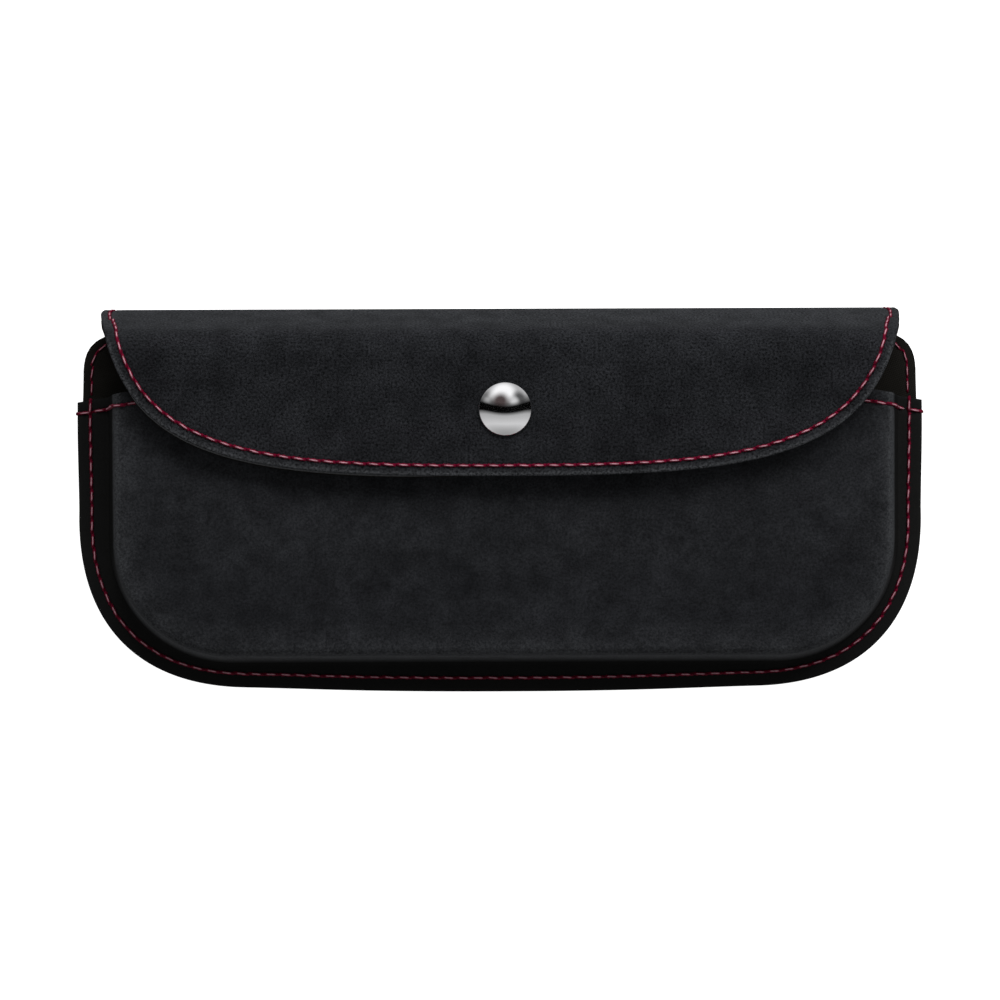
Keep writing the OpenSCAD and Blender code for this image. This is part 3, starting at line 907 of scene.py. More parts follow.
def nickel_plate(name, color, roughness, scratch):
    """Polished nickel with faint handling marks."""
    s = Shader(name)
    where = s.add("ShaderNodeTexCoord").outputs["Object"]
    fine = s.noise(where, 900, 4.0, 0.7)
    smear = s.noise(where, 160, 2.0, 0.5)
    rough = s.math("MULTIPLY_ADD", smear, 0.08, roughness)
    tone = s.ramp(smear, [(0.3, tuple(c * 0.94 for c in color)), (0.7, tuple(color))])
    s.set(Base_Color=tone, Metallic=1.0, Roughness=rough, Normal=s.bump(fine, scratch, 0.2))
    return s.material


# ---------- settings ----------

def size(name, description, default):
    return bpy.props.FloatProperty(name=name, description=description, default=default, unit="LENGTH",
                                   precision=5)


def paint(name, description, default):
    return bpy.props.FloatVectorProperty(name=name, description=description, default=default, subtype="COLOR",
                                         min=0, max=1)


def fraction(name, description, default):
    return bpy.props.FloatProperty(name=name, description=description, default=default, min=0, max=1,
                                   subtype="FACTOR")


def angle(name, description, degrees):
    return bpy.props.FloatProperty(name=name, description=description, default=math.radians(degrees),
                                   subtype="ANGLE")


class CaseFinish(bpy.types.PropertyGroup):
    """Colours and finishes of the case."""
    nap_color: paint("Nap", "Colour of the buffed leather", (0.0125, 0.0131, 0.0148))
    # pressed colour: partly the moulded finish, partly painted shade on flange and walls
    pressed_color: paint("Pressed leather", "Colour of the flange and walls, which the mould pressed",
                         (0.0112, 0.0112, 0.0108))
    # painted highlight: colour and strength of the lighter band painted on folds, rims and the flap's cut edge
    rubbed_color: paint("Rubbed leather", "Colour of worn edges and rims", (0.048, 0.05, 0.0535))
    wear: fraction("Wear", "How much the edges and rims are rubbed", 0.7)
    sheen: fraction("Sheen", "Strength of the nap's sheen", 0.02)
    grain: fraction("Grain", "Contrast of the nap's grain", 0.95)
    lining_color: paint("Lining", "Colour of the lining cloth", (0.012, 0.0112, 0.0098))
    backing_color: paint("Backing", "Colour of the interlining", (0.07, 0.072, 0.076))
    thread_color: paint("Thread", "Colour of the sewing thread", (0.12, 0.0015, 0.016))
    # painted highlight: the pale colour painted along each stitch's crest
    thread_shine: paint("Thread shine", "Colour of the thread's crests", (0.5, 0.25, 0.3))
    nickel_color: paint("Nickel", "Colour of the press stud", (0.72, 0.72, 0.73))


class CaseStitching(bpy.types.PropertyGroup):
    """Sizes of the seams."""
    pitch: size("Pitch", "Length from one needle hole to the next", 3.3 * MM)
    radius: size("Thread radius", "Radius of the sewing thread", 0.44 * MM)
    overlap: fraction("Overlap", "Share of the pitch by which a stitch outruns its two holes", 0.04)
    rise: size("Rise", "Height of a stitch's middle over the leather", 0.2 * MM)
    sink: size("Sink", "Depth at which a stitch's ends vanish in their holes", 0.45 * MM)
    lean: angle("Lean", "Turn of each stitch off its seam's line", -3)
    seed: bpy.props.IntProperty(name="Seed", description="Seed of the stitches' small differences", default=4)


class CaseStage(bpy.types.PropertyGroup):
    """Camera, floor and light."""
    camera_height: size("Camera height", "Height of the camera over the floor", 1.2)
    camera_roll: angle("Camera roll", "Turn of the camera about its own axis", -0.2)
    lens: bpy.props.FloatProperty(name="Lens", description="Focal length in millimetres", default=194.4)
    floor_glow: fraction("Floor glow", "Light that the floor gives off by itself", 1.0)
    key_power: bpy.props.FloatProperty(name="Key power", description="Power of the softbox behind the fold",
                                       default=12.5, min=0, unit="POWER")
    key_elevation: angle("Key elevation", "Height of the softbox as an angle", 40)
    fill: fraction("Fill", "Brightness of the even light from all round", 0.3)


def finish_settings():
    return bpy.context.scene.case_finish


def stitch_settings():
    return bpy.context.scene.case_stitching


def material(name):
    """The named finish, made when it is first asked for."""
    found = bpy.data.materials.get(name)
    if found:
        return found
    look = finish_settings()
    makers = {
        "nubuck": lambda: nubuck(name, look),
        "nubuck_moulded": lambda: nubuck(name, look, moulded=True),
        "lining_cloth": lambda: lining_cloth(name, look),
        "backing_felt": lambda: felted(name, look),
        "sewing_thread": lambda: twisted_thread(name, look),
        "nickel_plate": lambda: nickel_plate(name, tuple(look.nickel_color), 0.03, 0.003 * MM),
        "spring_wire": lambda: nickel_plate(name, tuple(look.nickel_color), 0.2, 0.01 * MM),
    }
    return makers[name]()


# ---------- seams by geometry nodes ----------

def stitch_tree():
    """Puts a twisted, arched stitch between every two needle holes of a seam line."""
    found = bpy.data.node_groups.get("stitches")
    if found:
        return found
    tree = bpy.data.node_groups.new("stitches", "GeometryNodeTree")
    sockets = [("Seam", "NodeSocketGeometry"), ("Stitches", "NodeSocketInt"), ("Length", "NodeSocketFloat"),
               ("Radius", "NodeSocketFloat"), ("Rise", "NodeSocketFloat"), ("Sink", "NodeSocketFloat"),
               ("Lean", "NodeSocketFloat"), ("Twist", "NodeSocketFloat"), ("Seed", "NodeSocketInt"),
               ("Finish", "NodeSocketMaterial")]
    for name, kind in sockets:
        tree.interface.new_socket(name, in_out="INPUT", socket_type=kind)
    tree.interface.new_socket("Stitches", in_out="OUTPUT", socket_type="NodeSocketGeometry")
    given = tree.nodes.new("NodeGroupInput").outputs

    def add(kind, links=(), **settings):
        node = tree.nodes.new(kind)
        for key, value in settings.items():
            setattr(node, key, value)
        for key, value in links:
            if isinstance(value, bpy.types.NodeSocket):
                tree.links.new(value, node.inputs[key])
            else:
                node.inputs[key].default_value = value
        return node

    def calc(operation, a, b=0.0, c=0.0):
        return add("ShaderNodeMath", [(0, a), (1, b), (2, c)], operation=operation).outputs[0]

    def vector(x, y, z):
        return add("ShaderNodeCombineXYZ", [(0, x), (1, y), (2, z)]).outputs[0]

    half = calc("MULTIPLY", given["Length"], 0.5)
    shoulder = calc("MULTIPLY", given["Length"], 0.46)
    crest = calc("MULTIPLY_ADD", given["Sink"], 0.333, calc("MULTIPLY", given["Rise"], 1.333))
    depth = calc("MULTIPLY", given["Sink"], -1.0)
    arch = add("GeometryNodeCurvePrimitiveBezierSegment", [
        ("Resolution", 9),
        ("Start", vector(calc("MULTIPLY", half, -1.0), 0.0, depth)),
        ("Start Handle", vector(calc("MULTIPLY", shoulder, -1.0), 0.0, crest)),
        ("End Handle", vector(shoulder, 0.0, crest)),
        ("End", vector(half, 0.0, depth))], mode="POSITION").outputs[0]
    factor = add("GeometryNodeSplineParameter").outputs["Factor"]
    tilt = calc("MULTIPLY", factor, given["Twist"])
    twisted = add("GeometryNodeSetCurveTilt", [("Curve", arch), ("Tilt", tilt)]).outputs[0]
    plies = add("GeometryNodeCurveStar", [
        ("Points", 3), ("Inner Radius", calc("MULTIPLY", given["Radius"], 0.74)),
        ("Outer Radius", given["Radius"]), ("Twist", 0.0)]).outputs[0]
    stitch = add("GeometryNodeCurveToMesh", [
        ("Curve", twisted), ("Profile Curve", plies), ("Fill Caps", True)]).outputs[0]
    stitch = add("GeometryNodeSetShadeSmooth", [("Geometry", stitch)]).outputs[0]
    # each point's place along and across its stitch, which the thread's painted highlight and shade are drawn from
    place = add("ShaderNodeSeparateXYZ", [(0, add("GeometryNodeInputPosition").outputs[0])]).outputs
    across = calc("DIVIDE", place["Y"], given["Radius"])
    along = calc("DIVIDE", place["X"], half)
    stitch = add("GeometryNodeStoreNamedAttribute", [
        ("Geometry", stitch), ("Name", "spot"), ("Value", vector(along, across, 0.0))],
        data_type="FLOAT_VECTOR").outputs[0]

    line = add("GeometryNodeMeshToCurve", [("Mesh", given["Seam"])]).outputs[0]
    holes = add("GeometryNodeResampleCurve", [("Curve", line), ("Count", given["Stitches"])])
    tangent = add("GeometryNodeInputTangent").outputs[0]
    up = add("GeometryNodeInputNamedAttribute", [("Name", "up")], data_type="FLOAT_VECTOR").outputs[0]
    turn = add("FunctionNodeAlignRotationToVector", [("Vector", tangent)], axis="X").outputs[0]
    turn = add("FunctionNodeAlignRotationToVector", [("Rotation", turn), ("Vector", up)],
               axis="Z", pivot_axis="X").outputs[0]
    jitter = add("FunctionNodeRandomValue", [("Seed", given["Seed"])], data_type="FLOAT")
    jitter.inputs[2].default_value, jitter.inputs[3].default_value = -0.05, 0.05
    lean = add("FunctionNodeAxisAngleToRotation", [
        ("Axis", (0, 0, 1)), ("Angle", calc("ADD", given["Lean"], jitter.outputs[1]))]).outputs[0]
    turn = add("FunctionNodeRotateRotation", [("Rotation", turn), ("Rotate By", lean)],
               rotation_space="LOCAL").outputs[0]
    placed = add("GeometryNodeInstanceOnPoints", [
        ("Points", holes.outputs[0]), ("Instance", stitch), ("Rotation", turn)]).outputs[0]
    real = add("GeometryNodeRealizeInstances", [("Geometry", placed)]).outputs[0]
    painted = add("GeometryNodeSetMaterial", [("Geometry", real), ("Material", given["Finish"])]).outputs[0]
    out = tree.nodes.new("NodeGroupOutput")
    tree.links.new(painted, out.inputs[0])
    return tree


def sew(name, path, up, pitch, lift=0.0, girth=1.0):
    """Sews along a path of points with their outward directions, from one end's hole to the other's."""
    s = stitch_settings()
    at = lengths(path)
    count = max(1, round(at[-1] / pitch))
    pitch = at[-1] / count
    where = np.linspace(pitch / 2, at[-1] - pitch / 2, max(2, 4 * count))
    points, up = pick(path, at, where), unit(pick(up, at, where))
    points = points + up * lift
    mesh = bpy.data.meshes.new(name)
    mesh.from_pydata(points.tolist(), [(i, i + 1) for i in range(len(points) - 1)], [])
    piece = bpy.data.objects.new(name, mesh)
    bpy.context.scene.collection.objects.link(piece)
    store(piece, "up", "FLOAT_VECTOR", up)
    modifier = piece.modifiers.new("stitches", "NODES")
    modifier.node_group = stitch_tree()
    values = {"Stitches": count, "Length": pitch * (1 + s.overlap), "Radius": s.radius * girth,
              "Rise": s.rise, "Sink": s.sink, "Lean": s.lean, "Twist": STITCH_TWIST, "Seed": s.seed,
              "Finish": material("sewing_thread")}
    for item in modifier.node_group.interface.items_tree:
        if item.in_out == "INPUT" and item.name in values:
            modifier[item.identifier] = values[item.name]
    piece.update_tag()
    bpy.context.view_layer.update()
    evaluated = piece.evaluated_get(bpy.context.evaluated_depsgraph_get())
    plain = bpy.data.meshes.new_from_object(evaluated)
    piece.modifiers.remove(modifier)
    piece.data = plain
    plain.name = name
    if not plain.polygons:
        raise RuntimeError(f"{name} has no stitches")
    return piece


# ---------- turned metal ----------

def turned(name, profile, material_name, around=72, sharp=35):
    """A piece turned round the stud's axis from (radius, height) points; a zero radius closes a pole."""
    vertices, rings = [], []
    for r, z in profile:
        if r < 1e-7:
            rings.append([len(vertices)])
            vertices.append((SNAP.x, SNAP.y, z))
            continue
        rings.append(list(range(len(vertices), len(vertices) + around)))
        for i in range(around):
            a = 2 * math.pi * i / around
            vertices.append((SNAP.x + r * math.cos(a), SNAP.y + r * math.sin(a), z))
    faces = []
    pairs = list(zip(rings, rings[1:])) + ([(rings[-1], rings[0])] if len(rings[0]) > 1 else [])
    for a, b in pairs:
        for i in range(around):
            j = (i + 1) % around
            if len(a) == 1 and len(b) == 1:
                continue
            if len(a) == 1:
                faces.append((a[0], b[j], b[i]))
            elif len(b) == 1:
                faces.append((a[i], a[j], b[0]))
            else:
                faces.append((a[i], a[j], b[j], b[i]))
    piece = make_object(name, np.array(vertices), faces, material(material_name))
    outward(piece)
    piece.data.set_sharp_from_angle(angle=math.radians(sharp))
    return piece


def outward(piece):
    """Turns a closed mesh's faces outwards."""
    mesh = bmesh.new()
    mesh.from_mesh(piece.data)
    bmesh.ops.recalc_face_normals(mesh, faces=mesh.faces)
    mesh.to_mesh(piece.data)
    mesh.free()


def arc(centre, radius, start, end, steps):
    """Points of an arc in (radius, height), its angles in degrees from the outward direction."""
    return [(centre[0] + radius * math.cos(math.radians(a)), centre[1] + radius * math.sin(math.radians(a)))
            for a in np.linspace(start, end, steps + 1)]


# ---------- operators ----------

LIES_ON = {
    "back_leather": "floor", "back_backing": "back_leather", "back_lining_cloth": "back_backing",
    "pocket_leather": "pocket_backing", "pocket_backing": "pocket_lining_cloth",
    "pocket_lining_cloth": "back_lining_cloth",
    "flap_leather": "flap_backing", "flap_backing": "flap_lining_cloth",
    "flap_lining_cloth": "pocket_leather",
}


class CASE_OT_back_and_flap(bpy.types.Operator):
    """Cuts the leather, backing and lining that run from the back over the spine to the flap"""
    bl_idname = "case.back_and_flap"
    bl_label = "Back and Flap"

    def execute(self, context):
        pitch = stitch_settings().pitch
        back, flap = back_surface(pitch), flap_surface(pitch)
        back_backing = back_surface(pitch, lambda edge: np.full(len(edge), 0.25 * MM))
        flap_backing = flap_surface(pitch, lambda edge: 0.2 * MM - 0.5 * MM * stepped(edge))
        flap_inside = flap_surface(pitch, lambda edge: -0.5 * MM * stepped(edge))
        back_start = (0, BACK_BEND_Y, 0)
        back_end = (0, *SPINE_FOOT)
        flap_start = (0, high("front_fold_leather").y, FRONT_BEND_Z + FRONT_BEND_R * math.sin(SPINE_LEAN))
        flap_end = (0, FRONT_BEND_Y, FLAP_Z)
        leather, backing, lining = material("nubuck"), material("backing_felt"), material("lining_cloth")
        plies = [
            ("back_leather", back, 0, LEATHER_T, leather, seam_valley(back, 0.33 * MM, 0.1 * MM), "leather",
             ("back_panel", "back_fold_leather", "spine_panel")),
            ("back_backing", back_backing, *INTERLINING, backing, 0.0, "interlining",
             ("back_interlining", "spine_interlining")),
            ("back_lining_cloth", back, *LINING, lining, 0.0, "lining",
             ("back_lining", "back_fold_lining", "spine_lining")),
            ("flap_leather", flap, 0, LEATHER_T, leather, seam_valley(flap, 0.12 * MM, 0.1 * MM), "leather",
             ("flap_panel", "front_fold_leather")),
            ("flap_backing", flap_backing, *INTERLINING, backing, 0.0, "interlining", ("flap_interlining",)),
            ("flap_lining_cloth", flap_inside, *LINING, lining, 0.0, "lining",
             ("flap_lining", "front_fold_lining")),
        ]
        for name, surface, top, bottom, finish, valley, slot, nodes in plies:
            on_flap = name.startswith("flap")
            inside = 0.1 * MM if slot == "lining" else 0.0
            under = seam_valley(surface, inside, 0.5 * inside)
            piece = ply(name, surface, top, bottom, finish, valley=valley, under_valley=under)
            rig.replaces(piece, *nodes)
            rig.slot(piece, slot)
            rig.sheet(piece, held="folded", rests_on=[LIES_ON[name]], **cut_size(surface))
            if on_flap:
                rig.blend(piece, "spine", "flap", start=flap_start, end=flap_end)
            else:
                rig.blend(piece, "pouch", "spine", start=back_start, end=back_end)
        return {"FINISHED"}


class CASE_OT_pocket(bpy.types.Operator):
    """Moulds the pocket's leather, backing and lining over the back"""
    bl_idname = "case.pocket"
    bl_label = "Pocket"

    def execute(self, context):
        pitch = stitch_settings().pitch
        pocket = pocket_surface(pitch)
        pocket_backing = pocket_surface(pitch, lambda edge: np.full(len(edge), 0.2 * MM))
        valley = seam_valley(pocket, 0.12 * MM, 0.1 * MM) + mouth_valley(pocket, 0.1 * MM, 0.1 * MM)
        plies = [
            ("pocket_leather", pocket, 0, LEATHER_T, material("nubuck_moulded"), valley, "leather",
             "front_panel"),
            ("pocket_backing", pocket_backing, *INTERLINING, material("backing_felt"), 0.0, "interlining",
             "front_interlining"),
            ("pocket_lining_cloth", pocket, *LINING, material("lining_cloth"), 0.0, "lining", "front_lining"),
        ]
        for name, surface, top, bottom, finish, dip, slot, node in plies:
            piece = ply(name, surface, top, bottom, finish, valley=dip, flat_end=False)
            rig.replaces(piece, node)
            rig.slot(piece, slot)
            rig.ride(piece, "pouch")
            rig.sheet(piece, held="stretched", rests_on=[LIES_ON[name]], **cut_size(surface))
        return {"FINISHED"}


def whole_row(layout, row):
    """The vertices of one row, from the right edge over rings and grid to the left edge."""
    right, left = layout.ring_ids[:-1, row], layout.ring_ids[-2::-1, -1 - row]
    return np.concatenate([right, layout.row_ids[row], left])


def mouth_row(surface):
    """The vertices of the row that the mouth's seam follows."""
    layout = surface.layout
    below = surface.below[layout.ring_ids[0, :layout.corner]]
    return whole_row(layout, int(np.argmin(np.abs(below - MOUTH_SEAM_INSET))))


def mouth_valley(surface, depth, pucker):
    """Depth of the valley that the mouth's stitches pull into the pocket."""
    along = lengths(surface.place[mouth_row(surface)])
    layout = surface.layout
    pitch = along[-1] / round(along[-1] / stitch_settings().pitch)
    holes = 0.5 + 0.5 * np.cos(2 * math.pi * along / pitch)
    valley = np.zeros(layout.count)
    for row in range(layout.corner):
        ids = whole_row(layout, row)
        valley[ids] = bump(surface.below[ids] - MOUTH_SEAM_INSET, 0.5 * MM) * (depth + pucker * holes)
    return valley


class CASE_OT_seams(bpy.types.Operator):
    """Sews the perimeter, flap and mouth seams on both sides of the plies"""
    bl_idname = "case.seams"
    bl_label = "Seams"

    def execute(self, context):
        pitch = stitch_settings().pitch
        back, flap, pocket = back_surface(pitch), flap_surface(pitch), pocket_surface(pitch)
        back_fold = ((0, BACK_BEND_Y, 0), (0, *SPINE_FOOT))
        flap_fold = ((0, high("front_fold_leather").y, FRONT_BEND_Z + FRONT_BEND_R * math.sin(SPINE_LEAN)),
                     (0, FRONT_BEND_Y, FLAP_Z))
        seam = {s: (s.place[s.layout.ring_ids[SEAM_RING]], s.normal[s.layout.ring_ids[SEAM_RING]])
                for s in (back, flap, pocket)}

        def outer(name, surface, lift, nodes, fold, bodies):
            piece = sew(name, *seam[surface], surface.layout.pitch, lift)
            self.fasten(piece, nodes, fold, bodies)

        outer("back_seam_outside", back, -0.34 * MM, ("body_seam_bobbin",), back_fold, ("pouch", "spine"))
        outer("flap_seam_outside", flap, -0.12 * MM, ("flap_seam_thread", "spine_seam_thread"), flap_fold,
              ("spine", "flap"))
        outer("pocket_seam", pocket, -0.08 * MM, ("body_seam_thread",), None, ("pouch",))
        points, up = seam[flap]
        piece = sew("flap_seam_inside", points - up * STACK_T, -up, flap.layout.pitch, -0.08 * MM,
                    BOBBIN_GIRTH)
        self.fasten(piece, ("flap_seam_bobbin", "spine_seam_bobbin"), flap_fold, ("spine", "flap"))
        self.ear_seams(back, seam[back], back_fold)
        self.mouth_seams(pocket, pitch)
        return {"FINISHED"}

    def mouth_seams(self, pocket, pitch):
        """The mouth's seam: over flanges, walls and face outside, and over the face inside."""
        row = mouth_row(pocket)
        points, up = pocket.place[row], pocket.normal[row]
        piece = sew("mouth_seam_outside", points, up, pitch, -0.1 * MM)
        self.fasten(piece, ("mouth_seam_thread",), None, ("pouch",))
        face = np.abs(points[:, 0]) < FACE_HALF_W - 5 * MM
        points, up = (points - up * STACK_T)[face], -up[face]
        piece = sew("mouth_seam_inside", points, up, pitch, -0.05 * MM, BOBBIN_GIRTH)
        self.fasten(piece, ("mouth_seam_bobbin",), None, ("pouch",))

    def ear_seams(self, back, seam, fold):
        """The same thread on the lining's side, where no pocket covers it."""
        points, up = seam
        bare = points[:, 1] > mouth_at(BODY_HALF_W) + 0.6 * MM
        for side, name in ((1, "ear_seam_right"), (-1, "ear_seam_left")):
            mine = bare & (points[:, 0] * side > 0)
            piece = sew(name, (points - up * STACK_T)[mine], -up[mine], back.layout.pitch, -0.06 * MM,
                        BOBBIN_GIRTH)
            self.fasten(piece, ("body_seam_thread",), fold, ("pouch", "spine"))

    @staticmethod
    def fasten(piece, nodes, fold, bodies):
        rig.replaces(piece, *nodes)
        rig.slot(piece, "thread")
        if fold:
            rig.blend(piece, *bodies, start=fold[0], end=fold[1])
        else:
            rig.ride(piece, bodies[0])


class CASE_OT_press_stud(bpy.types.Operator):
    """Turns the press stud's cap, socket, stud and eyelet and bends its spring"""
    bl_idname = "case.press_stud"
    bl_label = "Press Stud"

    def execute(self, context):
        self.cap()
        self.socket()
        self.stud()
        self.eyelet()
        self.spring()
        return {"FINISHED"}

    def cap(self):
        """A shallow dome that turns down in a rolled rim, over a short shank."""
        base, bottom = FLAP_Z - 0.1 * MM, low("snap_cap").z
        rim, slope = 0.55 * MM, 46
        span = CAP_R - rim * (1 - math.sin(math.radians(slope)))
        ball = span / math.sin(math.radians(slope))
        top = FLAP_Z + CAP_H
        dome = arc((0, top - ball), ball, 90, 90 - slope, 28)
        edge = arc((CAP_R - rim, dome[-1][1] - rim * math.cos(math.radians(slope))), rim, 90 - slope, -70, 12)
        foot = [(CAP_R - 1.0 * MM, base), (1.3 * MM, base), (1.2 * MM, bottom), (0.0, bottom)]
        profile = [(0.0, top)] + dome[1:] + edge[1:] + foot
        self.fasten(turned("press_stud_cap", profile, "nickel_plate", around=96), "snap_cap", "flap")

    def socket(self):
        """A hollow drum of thin metal with a rolled lip, which holds the spring."""
        bottom, top = low("snap_socket").z, high("snap_socket").z
        r = (high("snap_socket").x - low("snap_socket").x) / 2
        lip, cavity, bore = 3.4 * MM, 4.4 * MM, 1.3 * MM
        sheet, roll_r = 0.4 * MM, 0.3 * MM
        profile = arc((lip + roll_r, bottom + roll_r), roll_r, 180, 270, 5)
        profile += arc((r - roll_r, bottom + roll_r), roll_r, 270, 360, 5)
        profile += [(r, top), (bore, top), (bore, top - sheet), (cavity, top - sheet),
                    (cavity, bottom + sheet + roll_r), (lip + 0.2 * MM, bottom + sheet + roll_r)]
        self.fasten(turned("press_stud_socket", profile, "nickel_plate"), "snap_socket", "flap")

    def stud(self):
        """A flat plate with a necked post, bored for the eyelet."""
        bottom, top = low("snap_stud").z, high("snap_stud").z
        r = (high("snap_stud").x - low("snap_stud").x) / 2
        head, neck, bore = 1.9 * MM, 1.5 * MM, 1.08 * MM
        plate = bottom + 0.6 * MM
        profile = [(bore, bottom), (r, bottom)] + arc((r - 0.22 * MM, plate - 0.22 * MM), 0.22 * MM, 0, 90, 5)
        profile += [(r - 1.0 * MM, plate - 0.12 * MM), (2.6 * MM, plate - 0.1 * MM)]
        profile += arc((neck + 0.35 * MM, plate + 0.3 * MM), 0.35 * MM, 250, 180, 4)
        profile += arc((head - 0.5 * MM, top - 0.55 * MM), 0.5 * MM, -35, 90, 9)
        profile += [(bore, top), (bore, top - 0.3 * MM)]
        self.fasten(turned("press_stud_stud", profile, "nickel_plate"), "snap_stud", "pouch")

    def eyelet(self):
        """A plate inside the pocket with a barrel that is rolled over in the stud."""
        bottom, top = low("snap_eyelet").z, high("snap_eyelet").z
        r = (high("snap_eyelet").x - low("snap_eyelet").x) / 2
        barrel, bore, plate = 1.0 * MM, 0.6 * MM, 0.5 * MM
        profile = arc((r - 0.25 * MM, bottom + 0.25 * MM), 0.25 * MM, 270, 450, 8)
        profile += [(barrel, bottom + plate), (barrel, top - 0.25 * MM)]
        profile += arc(((barrel + bore) / 2 + 0.05 * MM, top - 0.2 * MM), 0.2 * MM, 0, 180, 6)
        profile += [(bore, bottom + 0.2 * MM), (bore + 0.15 * MM, bottom)]
        self.fasten(turned("press_stud_eyelet", profile, "nickel_plate"), "snap_eyelet", "pouch")

    def spring(self):
        """A wire ring with two straight runs that grip the stud's neck."""
        wire = (high("snap_spring").z - low("snap_spring").z) / 2
        ring = (high("snap_spring").x - low("snap_spring").x) / 2 - wire
        z = (high("snap_spring").z + low("snap_spring").z) / 2
        grip = 2.3 * MM
        meet = math.acos(grip / ring)
        bends = [[(ring * math.cos(a), ring * math.sin(a))
                  for a in np.linspace(turn + meet, turn + math.pi - meet, 24)] for turn in (0, math.pi)]
        path = []
        for bend, after in (bends, bends[::-1]):
            path += bend + np.linspace(bend[-1], after[0], 7)[1:-1].tolist()
        points = np.array([(SNAP.x + x, SNAP.y + y, z) for x, y in path])
        piece = tube("press_stud_spring", points, wire, material("spring_wire"))
        self.fasten(piece, "snap_spring", "flap")

    @staticmethod
    def fasten(piece, node, body):
        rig.replaces(piece, node)
        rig.slot(piece, "nickel")
        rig.ride(piece, body)


def tube(name, points, radius, finish, sides=10):
    """A closed round wire along a ring of points that lie flat."""
    ahead = unit(np.roll(points, -1, axis=0) - np.roll(points, 1, axis=0))
    across = np.cross(ahead, (0, 0, 1))
    vertices, faces = [], []
    n = len(points)
    for i in range(n):
        for k in range(sides):
            a = 2 * math.pi * k / sides
            out = math.cos(a) * across[i] + math.sin(a) * np.array((0, 0, 1))
            vertices.append(points[i] + radius * out)
    for i in range(n):
        for k in range(sides):
            a, b = i * sides, (i + 1) % n * sides
            j = (k + 1) % sides
            faces.append((a + k, a + j, b + j, b + k))
    piece = make_object(name, np.array(vertices), faces, finish)
    outward(piece)
    return piece


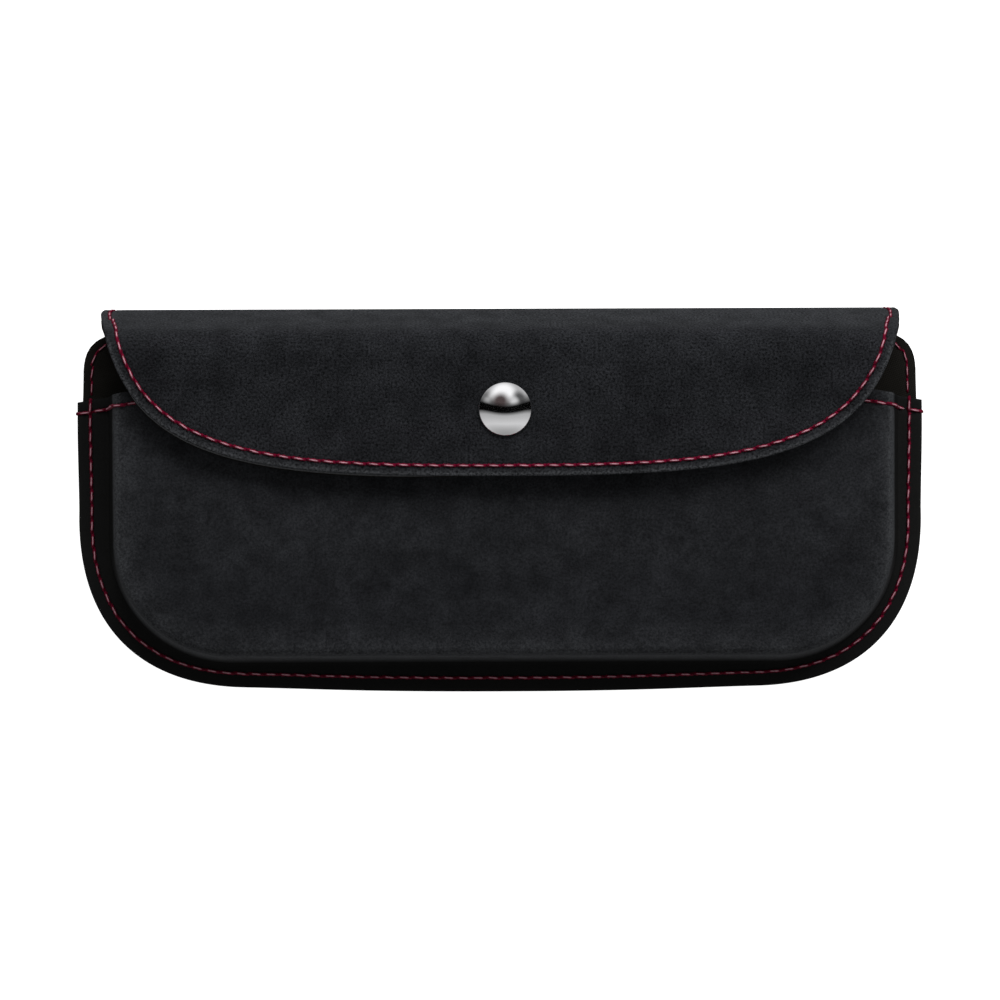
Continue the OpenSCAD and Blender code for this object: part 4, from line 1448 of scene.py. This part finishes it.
class CASE_OT_stage(bpy.types.Operator):
    """Sets the camera over the front, a pale floor and soft light"""
    bl_idname = "case.stage"
    bl_label = "Stage"

    def execute(self, context):
        settings = context.scene.case_stage
        self.camera(context, settings)
        self.floor(settings)
        self.key(context, settings)
        self.studio(context, settings)
        context.scene.view_settings.view_transform = "Standard"
        return {"FINISHED"}

    def camera(self, context, settings):
        data = bpy.data.cameras.new("camera")
        data.lens = settings.lens
        data.sensor_width = 36
        data.clip_start, data.clip_end = 0.01, 20
        camera = bpy.data.objects.new("camera", data)
        camera.location = (0, 0, settings.camera_height)
        camera.rotation_euler = (0, 0, settings.camera_roll)
        context.scene.collection.objects.link(camera)
        context.scene.camera = camera

    def floor(self, settings):
        s = Shader("pale_floor")
        s.set(Base_Color=(0.6, 0.6, 0.6, 1), Roughness=0.9, Emission_Color=(1, 1, 1, 1),
              Emission_Strength=settings.floor_glow)
        half, z = 3.0, -0.3 * MM
        corners = np.array([(-half, -half, z), (half, -half, z), (half, half, z), (-half, half, z)])
        floor = make_object("floor", corners, [(0, 1, 2, 3)], s.material)
        floor.visible_diffuse = floor.visible_glossy = False
        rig.stage(floor)

    def key(self, context, settings):
        """A wide softbox behind the fold, a little to the right; reflections show the studio instead."""
        data = bpy.data.lights.new("key", "AREA")
        data.shape = "RECTANGLE"
        data.size, data.size_y = 1.2, 0.45
        data.energy = settings.key_power
        key = bpy.data.objects.new("key", data)
        rise = settings.key_elevation
        key.location = (0.24, math.cos(rise), math.sin(rise))
        key.rotation_euler = (-key.location).to_track_quat("-Z", "Y").to_euler()
        key.visible_glossy = False
        context.scene.collection.objects.link(key)

    def studio(self, context, settings):
        """Even fill for matt surfaces, and for metal a tent with a dark gap round the camera."""
        world = bpy.data.worlds.new("studio")
        context.scene.world = world
        world.use_nodes = True
        tree = world.node_tree

        def add(kind, links=(), **values):
            node = tree.nodes.new(kind)
            for key, value in values.items():
                setattr(node, key, value)
            for key, value in links:
                if isinstance(value, bpy.types.NodeSocket):
                    tree.links.new(value, node.inputs[key])
                else:
                    node.inputs[key].default_value = value
            return node

        def mix(share, a, b, blend="MIX"):
            return add("ShaderNodeMix", [(0, share), (6, a), (7, b)], data_type="RGBA",
                       blend_type=blend).outputs[2]

        where = add("ShaderNodeTexCoord").outputs["Generated"]
        part = add("ShaderNodeSeparateXYZ", [(0, where)]).outputs
        curve = add("ShaderNodeMath", [(0, part["X"]), (1, part["X"])], operation="MULTIPLY").outputs[0]
        across = add("ShaderNodeMath", [(0, curve), (1, -0.2), (2, part["Y"])],
                     operation="MULTIPLY_ADD").outputs[0]
        place = add("ShaderNodeMapRange", [("Value", across), ("From Min", -1.0),
                                           ("From Max", 1.0)]).outputs[0]

        def bands(stops):
            ramp = add("ShaderNodeValToRGB", [(0, place)])
            elements = ramp.color_ramp.elements
            while len(elements) < len(stops):
                elements.new(0.5)
            for element, (at, value) in zip(elements, stops):
                element.position = at / 2 + 0.5
                element.color = (value, value, value, 1)
            return ramp.outputs[0]

        tent = bands([(-1.0, 0.42), (-0.75, 0.84), (-0.5, 0.64), (-0.36, 0.55), (0.3, 0.3), (0.5, 0.6)])
        patches = [((-0.1, 0.84, 0.53), 0.3, 0.75, 1.35, 1.35), ((-0.85, 0.55, 0.1), 0.05, 0.4, 0.22, 0.22),
                   ((0.7, 0.52, 0.48), 0.12, 0.5, 0.12, 0.12), ((-0.88, 0.27, 0.4), 0.02, 0.38, 0.8, 0.8),
                   ((0.46, 0.4, 0.79), 0.05, 0.4, 0.85, 0.85), ((-0.26, 0.42, 0.87), 0.18, 0.66, 0.1, 0.075)]
        for centre, inner, outer, red, green in patches:
            away = add("ShaderNodeVectorMath", [(0, where), (1, centre)],
                       operation="DISTANCE").outputs["Value"]
            cover = add("ShaderNodeMapRange", [("Value", away), ("From Min", inner), ("From Max", outer),
                                               ("To Min", 1.0), ("To Max", 0.0)],
                        interpolation_type="SMOOTHSTEP").outputs[0]
            tent = mix(cover, tent, (red, green, green, 1))
        gap = bands([(-0.38, 1.0), (-0.2, 0.004), (0.1, 0.003), (0.34, 1.0)])
        tent = mix(1.0, tent, gap, "MULTIPLY")
        ray = add("ShaderNodeLightPath").outputs
        fill = settings.fill
        matt = mix(ray["Is Diffuse Ray"], (1, 1, 1, 1), (fill, fill, fill, 1))
        light = mix(ray["Is Glossy Ray"], matt, tent)
        tree.links.new(light, tree.nodes["Background"].inputs["Color"])


PIECES = (CASE_OT_back_and_flap, CASE_OT_pocket, CASE_OT_seams, CASE_OT_press_stud, CASE_OT_stage)


class CASE_PT_panel(bpy.types.Panel):
    """Lists what builds the case"""
    bl_label = "Glasses Case"
    bl_idname = "CASE_PT_panel"
    bl_space_type = "VIEW_3D"
    bl_region_type = "UI"
    bl_category = "Glasses Case"

    def draw(self, context):
        for piece in PIECES:
            self.layout.operator(piece.bl_idname)
        for group in (context.scene.case_finish, context.scene.case_stitching, context.scene.case_stage):
            for key in group.__annotations__:
                self.layout.prop(group, key)


CLASSES = (CaseFinish, CaseStitching, CaseStage) + PIECES + (CASE_PT_panel,)


def register():
    for kind in CLASSES:
        bpy.utils.register_class(kind)
    bpy.types.Scene.case_finish = bpy.props.PointerProperty(type=CaseFinish)
    bpy.types.Scene.case_stitching = bpy.props.PointerProperty(type=CaseStitching)
    bpy.types.Scene.case_stage = bpy.props.PointerProperty(type=CaseStage)


def unregister():
    for name in ("case_finish", "case_stitching", "case_stage"):
        delattr(bpy.types.Scene, name)
    for kind in reversed(CLASSES):
        bpy.utils.unregister_class(kind)


def main():
    register()
    bpy.ops.case.stage()
    bpy.ops.case.back_and_flap()
    bpy.ops.case.pocket()
    bpy.ops.case.seams()
    bpy.ops.case.press_stud()
    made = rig.bounds()
    with open(SIZE_FILE, "w") as f:
        json.dump({"cad": [list(c) for c in CAD_BOX], "visual": [list(c) for c in made]}, f)


if __name__ == "__main__":
    main()
